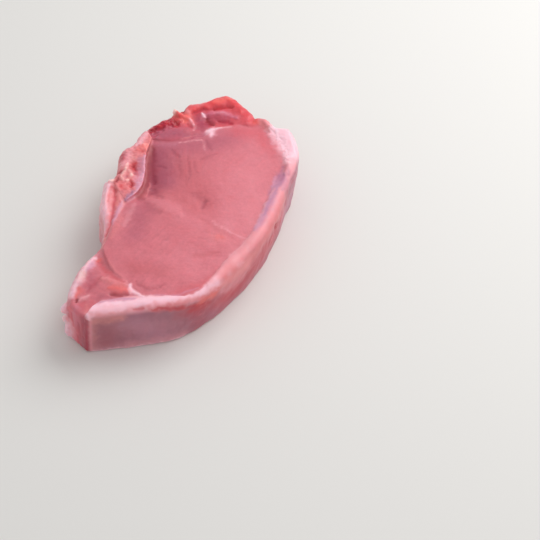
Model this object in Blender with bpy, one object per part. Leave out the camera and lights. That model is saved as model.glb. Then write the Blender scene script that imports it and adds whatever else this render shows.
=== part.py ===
# Raw veal chop: one slice across the loin with its rim of fat, a sawn piece of the
# backbone and the small muscles and strips around the eye of lean meat.
#
# Frame: +Z up, +Y along the chop from its tail to its cap, origin under the middle of
# the box. The chop lies on its lower cut face. Every piece runs through the slice.
#
# The plan is one outline cut up by seams. Each piece is a prism over its part of the
# plan, with a sculpted upper face, and keeps a hairline gap to its neighbours.

import math

import bmesh
import bpy
from mathutils import Vector
from mathutils.geometry import delaunay_2d_cdt, interpolate_bezier

MM = 0.001

# Driving dimensions, in millimetres
GAP = 0.3                # between neighbouring pieces
EDGE_ROUND = 3.6         # upper outer edge
END_ROUND = 1.2          # upper edge of the cut end of the tail
FOOT_ROUND = {           # lower outer edge of each piece
    "eye_muscle": 1.5,
    "fat_rim": 1.5,
    "cap_muscle": 2.5,
    "feather_bone": 2.5,
    "vertebra_bone": 2.5,
    "rib_strip": 4.0,
    "tail_muscle": 1.5,
}
SLANT = Vector((2.7, 1.2))   # how far the upper face is shifted along X and Y
CREST_INSET = 4.2        # the rim's crest runs this far inside the outline
CREST_SPREAD = 2.8
CREST_RISE = 1.3

# Height of each piece's upper face before its mounds and hollows, in millimetres
LEVEL = {
    "eye_muscle": 26.4,
    "fat_rim": 26.8,
    "cap_muscle": 27.0,
    "feather_bone": 26.6,
    "vertebra_bone": 28.0,
    "rib_strip": 26.8,
    "tail_muscle": 26.0,
}

# Mounds and hollows of the upper faces: x, y, spread and rise, in millimetres
MOUNDS = {
    "eye_muscle": [
        (-26.0, 22.0, 7.0, -2.2), (-22.0, 8.0, 7.0, -2.4), (-15.0, -2.0, 6.0, -0.8),
        (-8.0, -8.0, 10.0, 0.8), (10.0, -9.0, 11.0, 0.8), (10.0, 32.0, 17.0, 0.8),
        (8.0, 5.0, 3.5, -0.9), (2.0, -34.0, 14.0, 0.7),
    ],
    "fat_rim": [(27.0, 60.0, 6.0, 0.5), (-6.0, -70.0, 6.0, -0.5)],
    "cap_muscle": [
        (-23.0, 62.0, 5.0, 0.7), (-12.0, 69.0, 5.0, 1.0), (-1.0, 65.0, 5.0, 0.9),
        (-15.0, 53.0, 6.0, -2.0), (-3.0, 59.5, 4.5, -1.2),
    ],
    "feather_bone": [(-30.0, 47.0, 4.0, 0.6)],
    "vertebra_bone": [(-34.0, 8.0, 6.0, 0.4), (-25.0, 8.0, 4.0, -1.2)],
    "rib_strip": [(-33.0, -10.0, 4.0, 0.7), (-26.0, -28.0, 5.0, -0.8)],
    "tail_muscle": [
        (-18.0, -71.0, 8.0, -1.8), (-20.0, -44.0, 4.5, -1.6), (-8.0, -55.0, 6.0, 0.6),
    ],
}

# How finely the solids are faceted, in millimetres
SEAM_STEP = 1.9
GRID_STEP = 3.2
WALL_BANDS = 4           # rows of faces up a wall
EDGE_RINGS = (0.12, 0.4, 0.72, 1.0)      # depths into the rounded upper edge
FOOT_RINGS = (0.35, 1.0)                 # depths into the rounded lower edge
RING_CLEARANCE = 1.0     # least distance from an inner vertex to a seam
RING_TOLERANCE = 0.95    # least share of its depth that a ring's vertex really has
NEARLY_STRAIGHT = 0.3    # sine of the turn below which a border's corner isn't mitred
CURVE_STEPS = 16         # points along a seam between two of its given points
MERGE_DISTANCE = 0.001   # points closer than this become one vertex
KEEP_INSIDE = 1          # triangulation that keeps only the triangles inside the border
SHARP_ANGLE = 40.0       # degrees between faces, above which an edge is drawn sharp

# The outline, clockwise from where the cap meets the rim, then the seams inside it.
# Each is a smooth line through its points at the height of the upper face.
SEAMS = {
    "rim_outer": [
        (7, 67), (14, 66.5), (19, 65), (25, 66), (32.5, 59), (38, 48.5), (40.5, 31),
        (42.5, 12), (42.5, -4), (39.5, -20), (34, -37), (25.5, -52), (12, -62.5),
        (-1, -71), (-9.5, -76),
    ],
    "rim_end": [(-9.5, -76), (-11.3, -75.3)],
    "tail_end": [(-11.3, -75.3), (-23, -70.5)],
    "tail_outer": [(-23, -70.5), (-26, -62), (-27, -50), (-25.5, -41), (-24.5, -35)],
    "strip_outer": [
        (-24.5, -35), (-29.5, -23), (-35, -17), (-38.5, -9), (-41.5, 0), (-40, 1.5), (-38, 0.5),
    ],
    "bone_outer": [
        (-38, 0.5), (-38.5, 6), (-42.5, 15.5), (-42.5, 21), (-40, 25), (-40, 33), (-39.5, 37.5),
    ],
    "feather_outer": [(-39.5, 37.5), (-35.5, 46), (-32, 51), (-28.5, 58.5)],
    "cap_outer": [
        (-28.5, 58.5), (-27, 62), (-21.5, 65.5), (-17, 72), (-12.5, 75), (-5.5, 73.5),
        (1, 70.5), (7, 67),
    ],
    "rim_cap": [(7, 67), (11.5, 64)],
    "eye_rim": [
        (11.5, 64), (22, 58.5), (31.5, 50), (34, 40), (34, 20), (36, -3), (32.5, -20),
        (30, -39), (25, -47.5), (16, -51.5), (6.5, -55),
    ],
    "rim_tail": [(6.5, -55), (-3, -60.5), (-10, -66.5), (-11.3, -75.3)],
    "eye_tail": [(6.5, -55), (-3, -50.5), (-12, -48), (-19, -42), (-23, -37.5)],
    "strip_tail": [(-24.5, -35), (-23, -37.5)],
    "eye_strip": [(-23, -37.5), (-24.5, -25), (-25.5, -9.5)],
    "strip_bone": [(-25.5, -9.5), (-33, -4), (-38, 0.5)],
    "eye_bone": [(-25.5, -9.5), (-23, -1.5), (-25, 9), (-30, 20), (-33, 32.5)],
    "bone_feather": [(-39.5, 37.5), (-36, 34.5), (-33, 32.5)],
    "feather_cap": [(-33, 32.5), (-29.5, 41), (-24.5, 46), (-25.5, 52), (-28.5, 58.5)],
    "eye_cap": [
        (-33, 32.5), (-24, 35), (-12, 43), (-7, 52), (1, 58), (8, 60), (11.5, 64),
    ],
}

OUTLINE = (
    "rim_outer", "rim_end", "tail_end", "tail_outer", "strip_outer", "bone_outer",
    "feather_outer", "cap_outer",
)
CUT_END = ("rim_end", "tail_end")

# Each piece's border, clockwise. A seam marked False is followed backwards.
BORDERS = {
    "eye_muscle": [
        ("eye_rim", True), ("eye_tail", True), ("eye_strip", True), ("eye_bone", True),
        ("eye_cap", True),
    ],
    "fat_rim": [
        ("rim_outer", True), ("rim_end", True), ("rim_tail", False), ("eye_rim", False),
        ("rim_cap", False),
    ],
    "cap_muscle": [
        ("cap_outer", True), ("rim_cap", True), ("eye_cap", False), ("feather_cap", True),
    ],
    "feather_bone": [
        ("feather_outer", True), ("feather_cap", False), ("bone_feather", False),
    ],
    "vertebra_bone": [
        ("bone_outer", True), ("bone_feather", True), ("eye_bone", False), ("strip_bone", True),
    ],
    "rib_strip": [
        ("strip_outer", True), ("strip_bone", False), ("eye_strip", False),
        ("strip_tail", False),
    ],
    "tail_muscle": [
        ("tail_end", True), ("tail_outer", True), ("strip_tail", True), ("eye_tail", False),
        ("rim_tail", True),
    ],
}

# Colour in sRGB and roughness
FINISHES = {
    "eye_muscle": ("D9828C", 0.42),
    "fat_rim": ("E6B3B8", 0.48),
    "cap_muscle": ("DA5A62", 0.40),
    "feather_bone": ("B8424B", 0.45),
    "vertebra_bone": ("D9A3AC", 0.50),
    "rib_strip": ("E2989E", 0.45),
    "tail_muscle": ("D2717C", 0.42),
}


def smooth_line(points):
    """Closely spaced points on a smooth line through the given ones."""
    knots = [Vector(point) for point in points]
    earlier = [knots[0]] + knots[:-1]
    later = knots[1:] + [knots[-1]]
    headings = [(after - before).normalized() for before, after in zip(earlier, later)]
    line = [knots[0]]
    for index in range(len(knots) - 1):
        start, end = knots[index], knots[index + 1]
        reach = (end - start).length / 3
        handle_out = start + headings[index] * reach
        handle_in = end - headings[index + 1] * reach
        line += interpolate_bezier(start, handle_out, handle_in, end, CURVE_STEPS)[1:]
    return line


def evenly_spaced(line):
    """The same line with its points about SEAM_STEP apart."""
    travelled = [0.0]
    for start, end in zip(line, line[1:]):
        travelled.append(travelled[-1] + (end - start).length)
    count = max(1, round(travelled[-1] / SEAM_STEP))
    spaced = []
    leg = 0
    for step in range(count + 1):
        target = travelled[-1] * step / count
        while leg < len(line) - 2 and travelled[leg + 1] < target:
            leg += 1
        share = (target - travelled[leg]) / (travelled[leg + 1] - travelled[leg])
        spaced.append(line[leg].lerp(line[leg + 1], min(share, 1.0)))
    return spaced


def legs_of(names):
    """Every straight leg of the named seams, as pairs of points."""
    return [leg for name in names for leg in zip(LINES[name], LINES[name][1:])]


def distance_to(legs, point):
    """Shortest distance in the plan from a point to any of the legs."""
    nearest = math.inf
    for start, end in legs:
        along = end - start
        share = (point - start).dot(along) / along.length_squared
        foot = start + along * min(max(share, 0.0), 1.0)
        nearest = min(nearest, (point - foot).length)
    return nearest


def is_inside(border, point):
    """True if the point lies within the closed border."""
    crossings = 0
    for start, end in zip(border, border[1:] + border[:1]):
        if (start.y > point.y) != (end.y > point.y):
            share = (point.y - start.y) / (end.y - start.y)
            if point.x < start.x + share * (end.x - start.x):
                crossings += 1
    return crossings % 2 == 1


def inward(start, end):
    """The unit vector to the right of a leg, which is inside a clockwise border."""
    along = (end - start).normalized()
    return Vector((along.y, -along.x))


def border_of(piece):
    """A piece's clockwise border, moved in by half a gap along its seams."""
    corners = []
    margins = []
    for seam, forwards in BORDERS[piece]:
        line = LINES[seam] if forwards else LINES[seam][::-1]
        corners += line[:-1]
        margins += [0.0 if seam in OUTLINE else GAP / 2] * (len(line) - 1)
    border = []
    for index, corner in enumerate(corners):
        ahead = inward(corner, corners[(index + 1) % len(corners)])
        behind = inward(corners[index - 1], corner)
        margin_ahead, margin_behind = margins[index], margins[index - 1]
        turn = behind.x * ahead.y - behind.y * ahead.x
        if abs(turn) < NEARLY_STRAIGHT:
            shift = (ahead * margin_ahead + behind * margin_behind) / 2
        else:
            shift = Vector((
                (margin_behind * ahead.y - margin_ahead * behind.y) / turn,
                (margin_ahead * behind.x - margin_behind * ahead.x) / turn,
            ))
        border.append(corner + shift)
    return border


def fall(depth, radius):
    """How far a rounded edge of this radius has dropped at a depth inside it."""
    remaining = radius - min(depth, radius)
    return radius - math.sqrt(radius ** 2 - remaining ** 2)


def upper_height(piece, point):
    """Height of a piece's upper face above the level that the chop lies on."""
    round_depth = distance_to(ROUND_LEGS, point)
    height = LEVEL[piece]
    for x, y, spread, rise in MOUNDS[piece]:
        height += rise * math.exp(-((point - Vector((x, y))).length / spread) ** 2 / 2)
    if piece == "fat_rim":
        height += CREST_RISE * math.exp(-((round_depth - CREST_INSET) / CREST_SPREAD) ** 2)
    end_fall = fall(distance_to(CUT_LEGS, point), END_ROUND)
    return height - max(fall(round_depth, EDGE_ROUND), end_fall)


def lower_height(piece, point):
    """Height of a piece's lower face, which is flat but for its rounded edge."""
    return fall(distance_to(ROUND_LEGS + CUT_LEGS, point), FOOT_ROUND[piece])


def ring_points(piece, border, radius, shares):
    """Points that follow the outline inside a piece, for its rounded edges."""
    seams = [name for name, forwards in BORDERS[piece]]
    seam_legs = legs_of([name for name in seams if name not in OUTLINE])
    points = []
    for line in [LINES[name] for name in seams if name in OUTLINE]:
        for before, corner, after in zip(line, line[1:], line[2:]):
            way_in = (inward(before, corner) + inward(corner, after)).normalized()
            for depth in [radius * share for share in shares]:
                point = corner + way_in * depth
                clear = distance_to(seam_legs, point) > RING_CLEARANCE
                on_ring = distance_to(ROUND_LEGS + CUT_LEGS, point) > depth * RING_TOLERANCE
                if clear and on_ring and is_inside(border, point):
                    points.append(point)
    return points


def grid_points(border):
    """A staggered grid of points well inside a border."""
    legs = list(zip(border, border[1:] + border[:1]))
    low = Vector((min(point.x for point in border), min(point.y for point in border)))
    high = Vector((max(point.x for point in border), max(point.y for point in border)))
    points = []
    row_step = GRID_STEP * math.sqrt(0.75)
    for row in range(int((high.y - low.y) / row_step) + 1):
        for column in range(int((high.x - low.x) / GRID_STEP) + 1):
            stagger = (row % 2) / 2
            point = low + Vector(((column + stagger) * GRID_STEP, row * row_step))
            off_the_rings = distance_to(ROUND_LEGS, point) > EDGE_ROUND + GRID_STEP / 3
            off_the_border = distance_to(legs, point) > GRID_STEP / 2
            if off_the_rings and off_the_border and is_inside(border, point):
                points.append(point)
    return points


def add_cap(mesh, border, inner, height_at):
    """Adds one triangulated face of a piece and returns its vertices round the border."""
    points = border + inner
    rim = [(index, (index + 1) % len(border)) for index in range(len(border))]
    result = delaunay_2d_cdt(points, rim, [], KEEP_INSIDE, MERGE_DISTANCE)
    flat, faces, sources = result[0], result[2], result[3]
    verts = [mesh.verts.new((point.x, point.y, height_at(point))) for point in flat]
    for face in faces:
        mesh.faces.new([verts[index] for index in face])
    place = {source: index for index, group in enumerate(sources) for source in group}
    return [verts[place[index]] for index in range(len(border))]


def add_walls(mesh, lower, upper):
    """Joins the two caps' borders by WALL_BANDS rows of faces."""
    rows = [lower]
    for band in range(1, WALL_BANDS):
        share = band / WALL_BANDS
        rows.append([
            mesh.verts.new(below.co.lerp(above.co, share))
            for below, above in zip(lower, upper)
        ])
    rows.append(upper)
    for below, above in zip(rows, rows[1:]):
        for index in range(len(below)):
            after = (index + 1) % len(below)
            mesh.faces.new((below[index], below[after], above[after], above[index]))


def add_material(piece):
    """A material in the piece's colour."""
    colour, roughness = FINISHES[piece]
    encoded = [int(colour[index:index + 2], 16) / 255 for index in (0, 2, 4)]
    linear = [((channel + 0.055) / 1.055) ** 2.4 for channel in encoded]
    material = bpy.data.materials.new(piece)
    material.use_nodes = True
    shader = material.node_tree.nodes["Principled BSDF"]
    shader.inputs["Base Color"].default_value = (*linear, 1.0)
    shader.inputs["Roughness"].default_value = roughness
    shader.inputs["Metallic"].default_value = 0.0
    return material


def add_piece(piece):
    """Builds one piece in millimetres and returns its object."""
    border = border_of(piece)
    upper_inner = ring_points(piece, border, EDGE_ROUND, EDGE_RINGS) + grid_points(border)
    lower_inner = ring_points(piece, border, FOOT_ROUND[piece], FOOT_RINGS)
    solid = bmesh.new()
    upper = add_cap(solid, border, upper_inner, lambda point: upper_height(piece, point))
    lower = add_cap(solid, border, lower_inner, lambda point: lower_height(piece, point))
    add_walls(solid, lower, upper)
    for vert in solid.verts:
        shift = SLANT * (vert.co.z / LEVEL["eye_muscle"] - 1)
        vert.co += shift.to_3d()
    bmesh.ops.recalc_face_normals(solid, faces=solid.faces)
    mesh = bpy.data.meshes.new(piece)
    solid.to_mesh(mesh)
    solid.free()
    mesh.shade_smooth()
    mesh.set_sharp_from_angle(angle=math.radians(SHARP_ANGLE))
    mesh.materials.append(add_material(piece))
    chop_piece = bpy.data.objects.new(piece, mesh)
    bpy.context.scene.collection.objects.link(chop_piece)
    return chop_piece


def centre_and_scale(pieces):
    """Puts the middle of the whole box over the origin and turns millimetres to metres."""
    corners = [vert.co for piece in pieces for vert in piece.data.vertices]
    middle = Vector((
        (min(corner.x for corner in corners) + max(corner.x for corner in corners)) / 2,
        (min(corner.y for corner in corners) + max(corner.y for corner in corners)) / 2,
        0.0,
    ))
    for piece in pieces:
        for vert in piece.data.vertices:
            vert.co = (vert.co - middle) * MM


for existing in list(bpy.data.objects):
    bpy.data.objects.remove(existing, do_unlink=True)

LINES = {name: evenly_spaced(smooth_line(points)) for name, points in SEAMS.items()}
CUT_LEGS = legs_of(CUT_END)
ROUND_LEGS = legs_of([name for name in OUTLINE if name not in CUT_END])

centre_and_scale([add_piece(piece) for piece in BORDERS])
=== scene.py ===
import math

import bpy
import numpy as np
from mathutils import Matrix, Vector, noise
from mathutils.bvhtree import BVHTree
from mathutils.geometry import delaunay_2d_cdt


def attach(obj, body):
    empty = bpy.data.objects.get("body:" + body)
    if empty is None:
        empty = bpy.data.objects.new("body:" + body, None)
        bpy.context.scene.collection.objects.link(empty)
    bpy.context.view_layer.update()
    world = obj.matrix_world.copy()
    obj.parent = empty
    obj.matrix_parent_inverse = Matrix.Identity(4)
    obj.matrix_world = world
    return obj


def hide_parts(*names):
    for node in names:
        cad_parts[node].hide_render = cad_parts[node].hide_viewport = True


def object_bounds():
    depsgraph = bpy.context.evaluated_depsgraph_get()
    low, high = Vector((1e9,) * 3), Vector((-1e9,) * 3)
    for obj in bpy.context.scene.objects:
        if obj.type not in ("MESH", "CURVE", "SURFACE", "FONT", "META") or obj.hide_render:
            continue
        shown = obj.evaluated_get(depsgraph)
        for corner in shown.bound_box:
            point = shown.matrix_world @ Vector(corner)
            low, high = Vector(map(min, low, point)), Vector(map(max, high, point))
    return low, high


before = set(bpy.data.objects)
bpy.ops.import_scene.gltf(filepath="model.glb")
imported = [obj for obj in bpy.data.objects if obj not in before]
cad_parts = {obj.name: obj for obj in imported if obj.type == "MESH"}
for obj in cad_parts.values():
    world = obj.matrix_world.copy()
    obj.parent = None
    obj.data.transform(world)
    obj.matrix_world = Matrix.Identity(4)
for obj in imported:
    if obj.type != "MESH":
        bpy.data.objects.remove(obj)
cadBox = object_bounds()
bpy.ops.object.select_all(action="DESELECT")
print("frame loaded:", len(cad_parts), "solids")

mm = 0.001

# how the solids are fused into one skin before it is modelled, in mm
skinShape = {
    "voxel": 0.42,
    "bridge": 0.25,        # grown by this before the remesh, so the hairline gaps close
    "smoothing": 16,
    "bitFirmness": 0.85,   # the loose bits are smoothed this much less
    "bitReach": (1.2, 3.2),
    "slant": (2.7, 1.2),   # the upper face lies this far over, as in the solids
    "slantHeight": 26.4,
    "tissueBlend": 0.35,   # how softly one tissue's colour runs into the next
    "tissueWander": 0.45,
    "wallBlend": 1.5,      # on the outer walls the tissues run this much further into each other
    "wallWander": 2.0,
    "cutBlend": 3.5,       # and still further on the hand-cut left side
    "cutWander": 6.0,
    "cutSide": (22, 25),   # which begins this far left of the middle
    "cutTop": (21, 25),    # and ends at this height
    "seamSoftness": 2.5,   # light goes deep into the meat only this far from a seam
    "seamGap": 0.3,        # about how far apart the solids stand
    "wallGroove": 0.4,     # a seam is sunk this share as deep on the walls as above
    "weightSteps": 20,
}

# torn bits that stand out of the cut face: points of x, y, z and radius in mm
looseBits = [
    [(-22.6, 53.2, 24.4, 2.3), (-24.6, 52.8, 26.2, 2.0), (-27.4, 53.4, 26.9, 1.7), (-30.6, 54.4, 27.2, 1.3)],
    [(-24.2, 53.0, 25.2, 1.8), (-22.4, 53.6, 26.0, 1.6), (-20.0, 52.8, 25.8, 1.3), (-17.6, 50.6, 25.5, 1.1)],
    [(22.4, 61.2, 25.6, 2.4), (24.8, 63.2, 26.2, 1.9), (27.0, 65.4, 26.6, 1.4)],
    [(-21.6, -67.4, 18.8, 2.8), (-23.3, -68.0, 17.2, 2.8), (-24.3, -68.4, 15.6, 2.5)],
    [(-21.6, -68.6, 12.2, 2.4), (-23.3, -69.2, 11.0, 2.3), (-24.4, -69.3, 10.2, 2.0)],
    [(-20.6, -69.8, 2.8, 2.4), (-22.2, -70.8, 2.8, 2.3), (-22.5, -70.4, 6.0, 2.2), (-22.0, -69.8, 9.0, 1.8)],
    [(-9.8, -72.6, 20.6, 1.9), (-9.6, -72.8, 23.4, 2.2), (-9.0, -72.4, 25.2, 1.8)],
    [(-35.0, 1.6, 25.0, 1.8), (-36.6, 0.8, 26.2, 1.6), (-38.0, 0.4, 26.8, 1.2)],
    [(9.0, 66.4, 26.2, 1.3), (12.6, 66.3, 26.8, 1.7), (16.2, 65.4, 27.0, 1.6), (18.6, 64.2, 26.6, 0.9)],
]

# edges that are worn round: points, the width felt and how often they are smoothed
roundedEdges = [
    dict(at=[(37, -33, 27), (41.5, -20, 27), (43.6, -5, 27), (43.8, 12, 27), (42.5, 30, 27), (39, 46, 27)],
         width=6.5, smoothing=110),
    dict(at=[(30, -45.5, 26), (33.4, -39.4, 26), (37, -32, 26)], width=4.5, smoothing=60),
    dict(at=[(10, 65.3, 27), (14, 64.8, 27), (17.6, 63.4, 27.2), (20.4, 61.8, 27.4), (25.2, 58.4, 27.4),
             (28.8, 56.0, 27.4), (31.6, 53.4, 27.4), (33.6, 50.4, 27.4), (35, 46.6, 27.4)],
         width=2.0, smoothing=45),
    dict(at=[(-8.4, -75.4, 1), (-7.6, -74.4, 13), (-7.2, -73.6, 26), (2, -67.8, 27.4), (16, -58.6, 27.4),
             (28, -49.4, 26.4), (37, -33, 26.4)], width=2.6, smoothing=12),
]

# the main colours, as they look under the lights
hue = {
    "leanPink": "#D47782",
    "leanWarm": "#CA6972",
    # pale lean, also painted as light on the lean's right side and its ridge
    "leanPaleAndLit": "#DE848F",
    "leanViolet": "#B25C70",
    # deep lean red, also painted as shade in the hollow beside the backbone
    "leanDeepAndShadow": "#903045",
    "leanSlope": "#AA535A",
    "freshRed": "#E04F55",
    "clearRed": "#C5313B",
    "bloodRed": "#971A29",
    "orangeRed": "#EC6F6A",
    "roseRed": "#D65B66",
    "crimson": "#AF213B",
    "salmon": "#E3868A",
    "paleFat": "#FFCBD8",
    "rosyFat": "#ECA3AC",
    "creamFat": "#FBCEC8",
    "lilac": "#D699B2",
    "deepLilac": "#AE7699",
    "orchid": "#D6758C",
    "purpleRed": "#A5425B",
    "capOuter": "#B64B57",
    "marrowPink": "#C98296",
    "skinMauve": "#AB6E7D",
    "skinDark": "#AA606B",
    "skinTan": "#DE9290",
    "boneBlue": "#A57595",
    "boneLilac": "#DFA5BA",
    "boneWhite": "#FFD6D0",
    "endPink": "#DE6E7B",
    "endRed": "#AE4757",
    # fat pink lifted as painted light on the right shoulder
    "litFatPink": "#FFA4A9",
    "peach": "#FC9A95",
}


def linear(hexColour):
    encoded = [int(hexColour[start:start + 2], 16) / 255 for start in (1, 3, 5)]
    return np.array([c / 12.92 if c < 0.04045 else ((c + 0.055) / 1.055) ** 2.4 for c in encoded])


def ramp(values, low, high):
    share = np.clip((values - low) / (high - low), 0, 1)
    return share * share * (3 - 2 * share)


def lumps(spots, size, shift=0.0, stretch=(1, 1, 1)):
    # smooth random values of about -1 to 1, in lumps of the given size in mm
    scaled = (spots / size / np.array(stretch) + shift).tolist()
    return np.array([noise.fractal(spot, 1.0, 2.1, 2) for spot in scaled]) * 1.6


def pathGap(spots, path):
    # distance from each spot to a line of straight legs, and how far along the line that is
    points = [np.array(point, float) for point in path]
    nearest = np.linalg.norm(spots - points[0], axis=1)
    along = np.zeros(len(spots))
    for leg, (start, end) in enumerate(zip(points, points[1:])):
        way = end - start
        share = np.clip((spots - start) @ way / (way @ way), 0, 1)
        gap = np.linalg.norm(spots - start - share[:, None] * way, axis=1)
        closer = gap <= nearest
        nearest[closer] = gap[closer]
        along[closer] = (leg + share[closer]) / (len(points) - 1)
    return nearest, along


def selectOnly(*pieces):
    bpy.ops.object.select_all(action="DESELECT")
    for piece in pieces:
        piece.select_set(True)
    bpy.context.view_layer.objects.active = pieces[0]


def applyModifier(piece, kind, **settings):
    selectOnly(piece)
    modifier = piece.modifiers.new(kind.title(), kind)
    for key, value in settings.items():
        setattr(modifier, key, value)
    bpy.ops.object.modifier_apply(modifier=modifier.name)


# one skin over all the solids

def weigh(piece, name, weights):
    # a vertex group with the given weights, rounded to a few steps
    group = piece.vertex_groups.new(name=name)
    steps = skinShape["weightSteps"]
    levels = np.round(np.clip(weights, 0, 1) * steps).astype(int)
    for level in range(1, steps + 1):
        group.add(np.flatnonzero(levels == level).tolist(), level / steps, "REPLACE")
    return group.name


def looseBit(points):
    # a tapering strand through the points, as a mesh
    bpy.ops.curve.primitive_nurbs_path_add()
    strand = bpy.context.active_object
    data = strand.data
    data.splines.clear()
    spline = data.splines.new("NURBS")
    spline.points.add(len(points) - 1)
    for point, (x, y, z, radius) in zip(spline.points, points):
        point.co = (x * mm, y * mm, z * mm, 1)
        point.radius = radius
    spline.use_endpoint_u = True
    spline.order_u = 3
    data.bevel_depth = mm
    data.bevel_resolution = 3
    data.use_fill_caps = True
    selectOnly(strand)
    bpy.ops.object.convert(target="MESH")
    return bpy.context.view_layer.objects.active


def fuseSolids():
    # copies of all the solids and the loose bits, remeshed as one and smoothed
    copies = []
    for name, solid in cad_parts.items():
        copy = bpy.data.objects.new(name + "_copy", solid.data.copy())
        bpy.context.scene.collection.objects.link(copy)
        copies.append(copy)
    selectOnly(*copies)
    bpy.ops.object.join()
    skin = bpy.context.view_layer.objects.active
    skin.name = "skin"
    bpy.ops.object.mode_set(mode="EDIT")
    bpy.ops.mesh.select_all(action="SELECT")
    bpy.ops.mesh.remove_doubles(threshold=0.02 * mm)
    bpy.ops.object.mode_set(mode="OBJECT")
    grow = skinShape["bridge"] * mm
    applyModifier(skin, "DISPLACE", strength=grow, mid_level=0.0)
    bits = [looseBit(points) for points in looseBits]
    selectOnly(skin, *bits)
    bpy.ops.object.join()
    applyModifier(skin, "REMESH", mode="VOXEL", voxel_size=skinShape["voxel"] * mm,
                  use_smooth_shade=True)
    applyModifier(skin, "DISPLACE", strength=-grow, mid_level=0.0)
    spots = meshPlaces(skin.data)
    firm = np.zeros(len(spots))
    for points in looseBits:
        gap = pathGap(spots, [point[:3] for point in points])[0]
        near, far = skinShape["bitReach"]
        firm = np.maximum(firm, ramp(-gap, -far, -near))
    applyModifier(skin, "SMOOTH", factor=0.5, iterations=skinShape["smoothing"],
                  vertex_group=weigh(skin, "plain", 1 - skinShape["bitFirmness"] * firm))
    for edge in roundedEdges:
        gap = pathGap(spots, edge["at"])[0]
        applyModifier(skin, "SMOOTH", factor=0.5, iterations=edge["smoothing"],
                      vertex_group=weigh(skin, "edge", np.exp(-(gap / edge["width"]) ** 4)))
    skin.data.materials.clear()
    return skin


def meshPlaces(mesh):
    places = np.empty(len(mesh.vertices) * 3)
    mesh.vertices.foreach_get("co", places)
    return places.reshape(-1, 3) / mm


def evenNormals(mesh, rounds=10):
    # the ways the surface faces, evened out over the small steps that a remesh leaves
    count = len(mesh.vertices)
    normals = np.empty(count * 3)
    mesh.vertices.foreach_get("normal", normals)
    normals = normals.reshape(-1, 3)
    ends = np.empty(len(mesh.edges) * 2, int)
    mesh.edges.foreach_get("vertices", ends)
    here, there = ends[::2], ends[1::2]
    for turn in range(rounds):
        around = [np.bincount(here, normals[there, axis], count)
                  + np.bincount(there, normals[here, axis], count) for axis in range(3)]
        normals = normals + np.stack(around, 1)
        normals /= np.linalg.norm(normals, axis=1)[:, None]
    return normals


def solidTree(solid):
    # a search tree that tells how far a place is from the solid
    corners = [vertex.co / mm for vertex in solid.data.vertices]
    return BVHTree.FromPolygons(corners, [tuple(face.vertices) for face in solid.data.polygons])


skin = fuseSolids()
places = meshPlaces(skin.data)
normals = evenNormals(skin.data)
print("skin:", len(places), "vertices")

trees = {name: solidTree(solid) for name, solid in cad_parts.items()}
placeList = places.tolist()
gaps = {name: np.array([tree.find_nearest(place)[3] for place in placeList])
        for name, tree in trees.items()}
print("tissues found")

# x and y of each place as if the chop stood straight, and which way its surface faces
slant = places[:, 2] / skinShape["slantHeight"] - 1
flat = places[:, :2] - slant[:, None] * np.array(skinShape["slant"])
top = ramp(normals[:, 2], 0.25, 0.75)
under = ramp(-normals[:, 2], 0.25, 0.75)
faces = {"top": top, "under": under, "wall": 1 - top - under, "all": np.ones(len(places)),
         "upper": top + (1 - top - under) * ramp(places[:, 2], 20, 26), "through": np.maximum(top, under)}

# how much of each tissue a place holds: softer and more wandering borders on the walls
cutTop = [-height for height in reversed(skinShape["cutTop"])]
handCut = faces["wall"] * ramp(-places[:, 0], *skinShape["cutSide"]) * ramp(-places[:, 2], *cutTop)
wandering = skinShape["wallWander"] * faces["wall"] + skinShape["cutWander"] * handCut
wandering = skinShape["tissueWander"] * (1 + wandering)
blend = skinShape["wallBlend"] * faces["wall"] + skinShape["cutBlend"] * handCut
blend = skinShape["tissueBlend"] * (1 + blend)
nearness = np.stack([-(gaps[name] + wandering * lumps(places, 3.0, 11.0 * index)) / blend
                     for index, name in enumerate(gaps)])
nearness = np.exp(nearness - nearness.max(0))
shares = {name: share for name, share in zip(gaps, nearness / nearness.sum(0))}
# wander bends the marks, grit breaks them up
wander = np.stack([lumps(places, 2.4, shift) for shift in (5.0, 25.0, 45.0)], 1)
grit = ramp(lumps(places, 1.1, 65.0), -0.5, 0.6)

# relief and colours: each tissue's own lumps, folds, pits and stains, and painted shade and painted light

# how deep and how wide the seam between two tissues is sunk, in mm
seamGrooves = [
    ("eye_muscle", "fat_rim", 0.05, 0.8),
    ("eye_muscle", "cap_muscle", 0.12, 0.9),
    ("eye_muscle", "vertebra_bone", 0.30, 1.3),
    ("eye_muscle", "rib_strip", 0.12, 1.0),
    ("eye_muscle", "tail_muscle", 0.04, 0.9),
    ("fat_rim", "tail_muscle", 0.25, 0.8),
    ("fat_rim", "cap_muscle", 0.12, 0.9),
    ("feather_bone", "cap_muscle", 0.4, 1.0),
    ("feather_bone", "vertebra_bone", 0.2, 1.0),
    ("rib_strip", "tail_muscle", 0.15, 1.0),
]


# how a mark is drawn if it doesn't say otherwise: shares of its width, and mm for the most stray
markHabit = {"stray": 0.3, "mostStray": 0.7, "taper": 0.45}


def mark(at, width, colour=None, strength=0.0, **more):
    # one stain or fold, or a stroke of painted shade or painted light, along a line or at a spot, in mm: x
    # and y on the upper face, or x, y and z, and then it is felt on all the faces there; lift is outwards in
    # mm, ragged breaks a mark up, stray bends it more or less, taper thins its ends, and spill takes it on
    # over the seams
    if len(at[0]) == 3:
        more = {"face": "all"} | more
    return dict(more, at=at, width=width, colour=colour, strength=strength)


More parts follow.
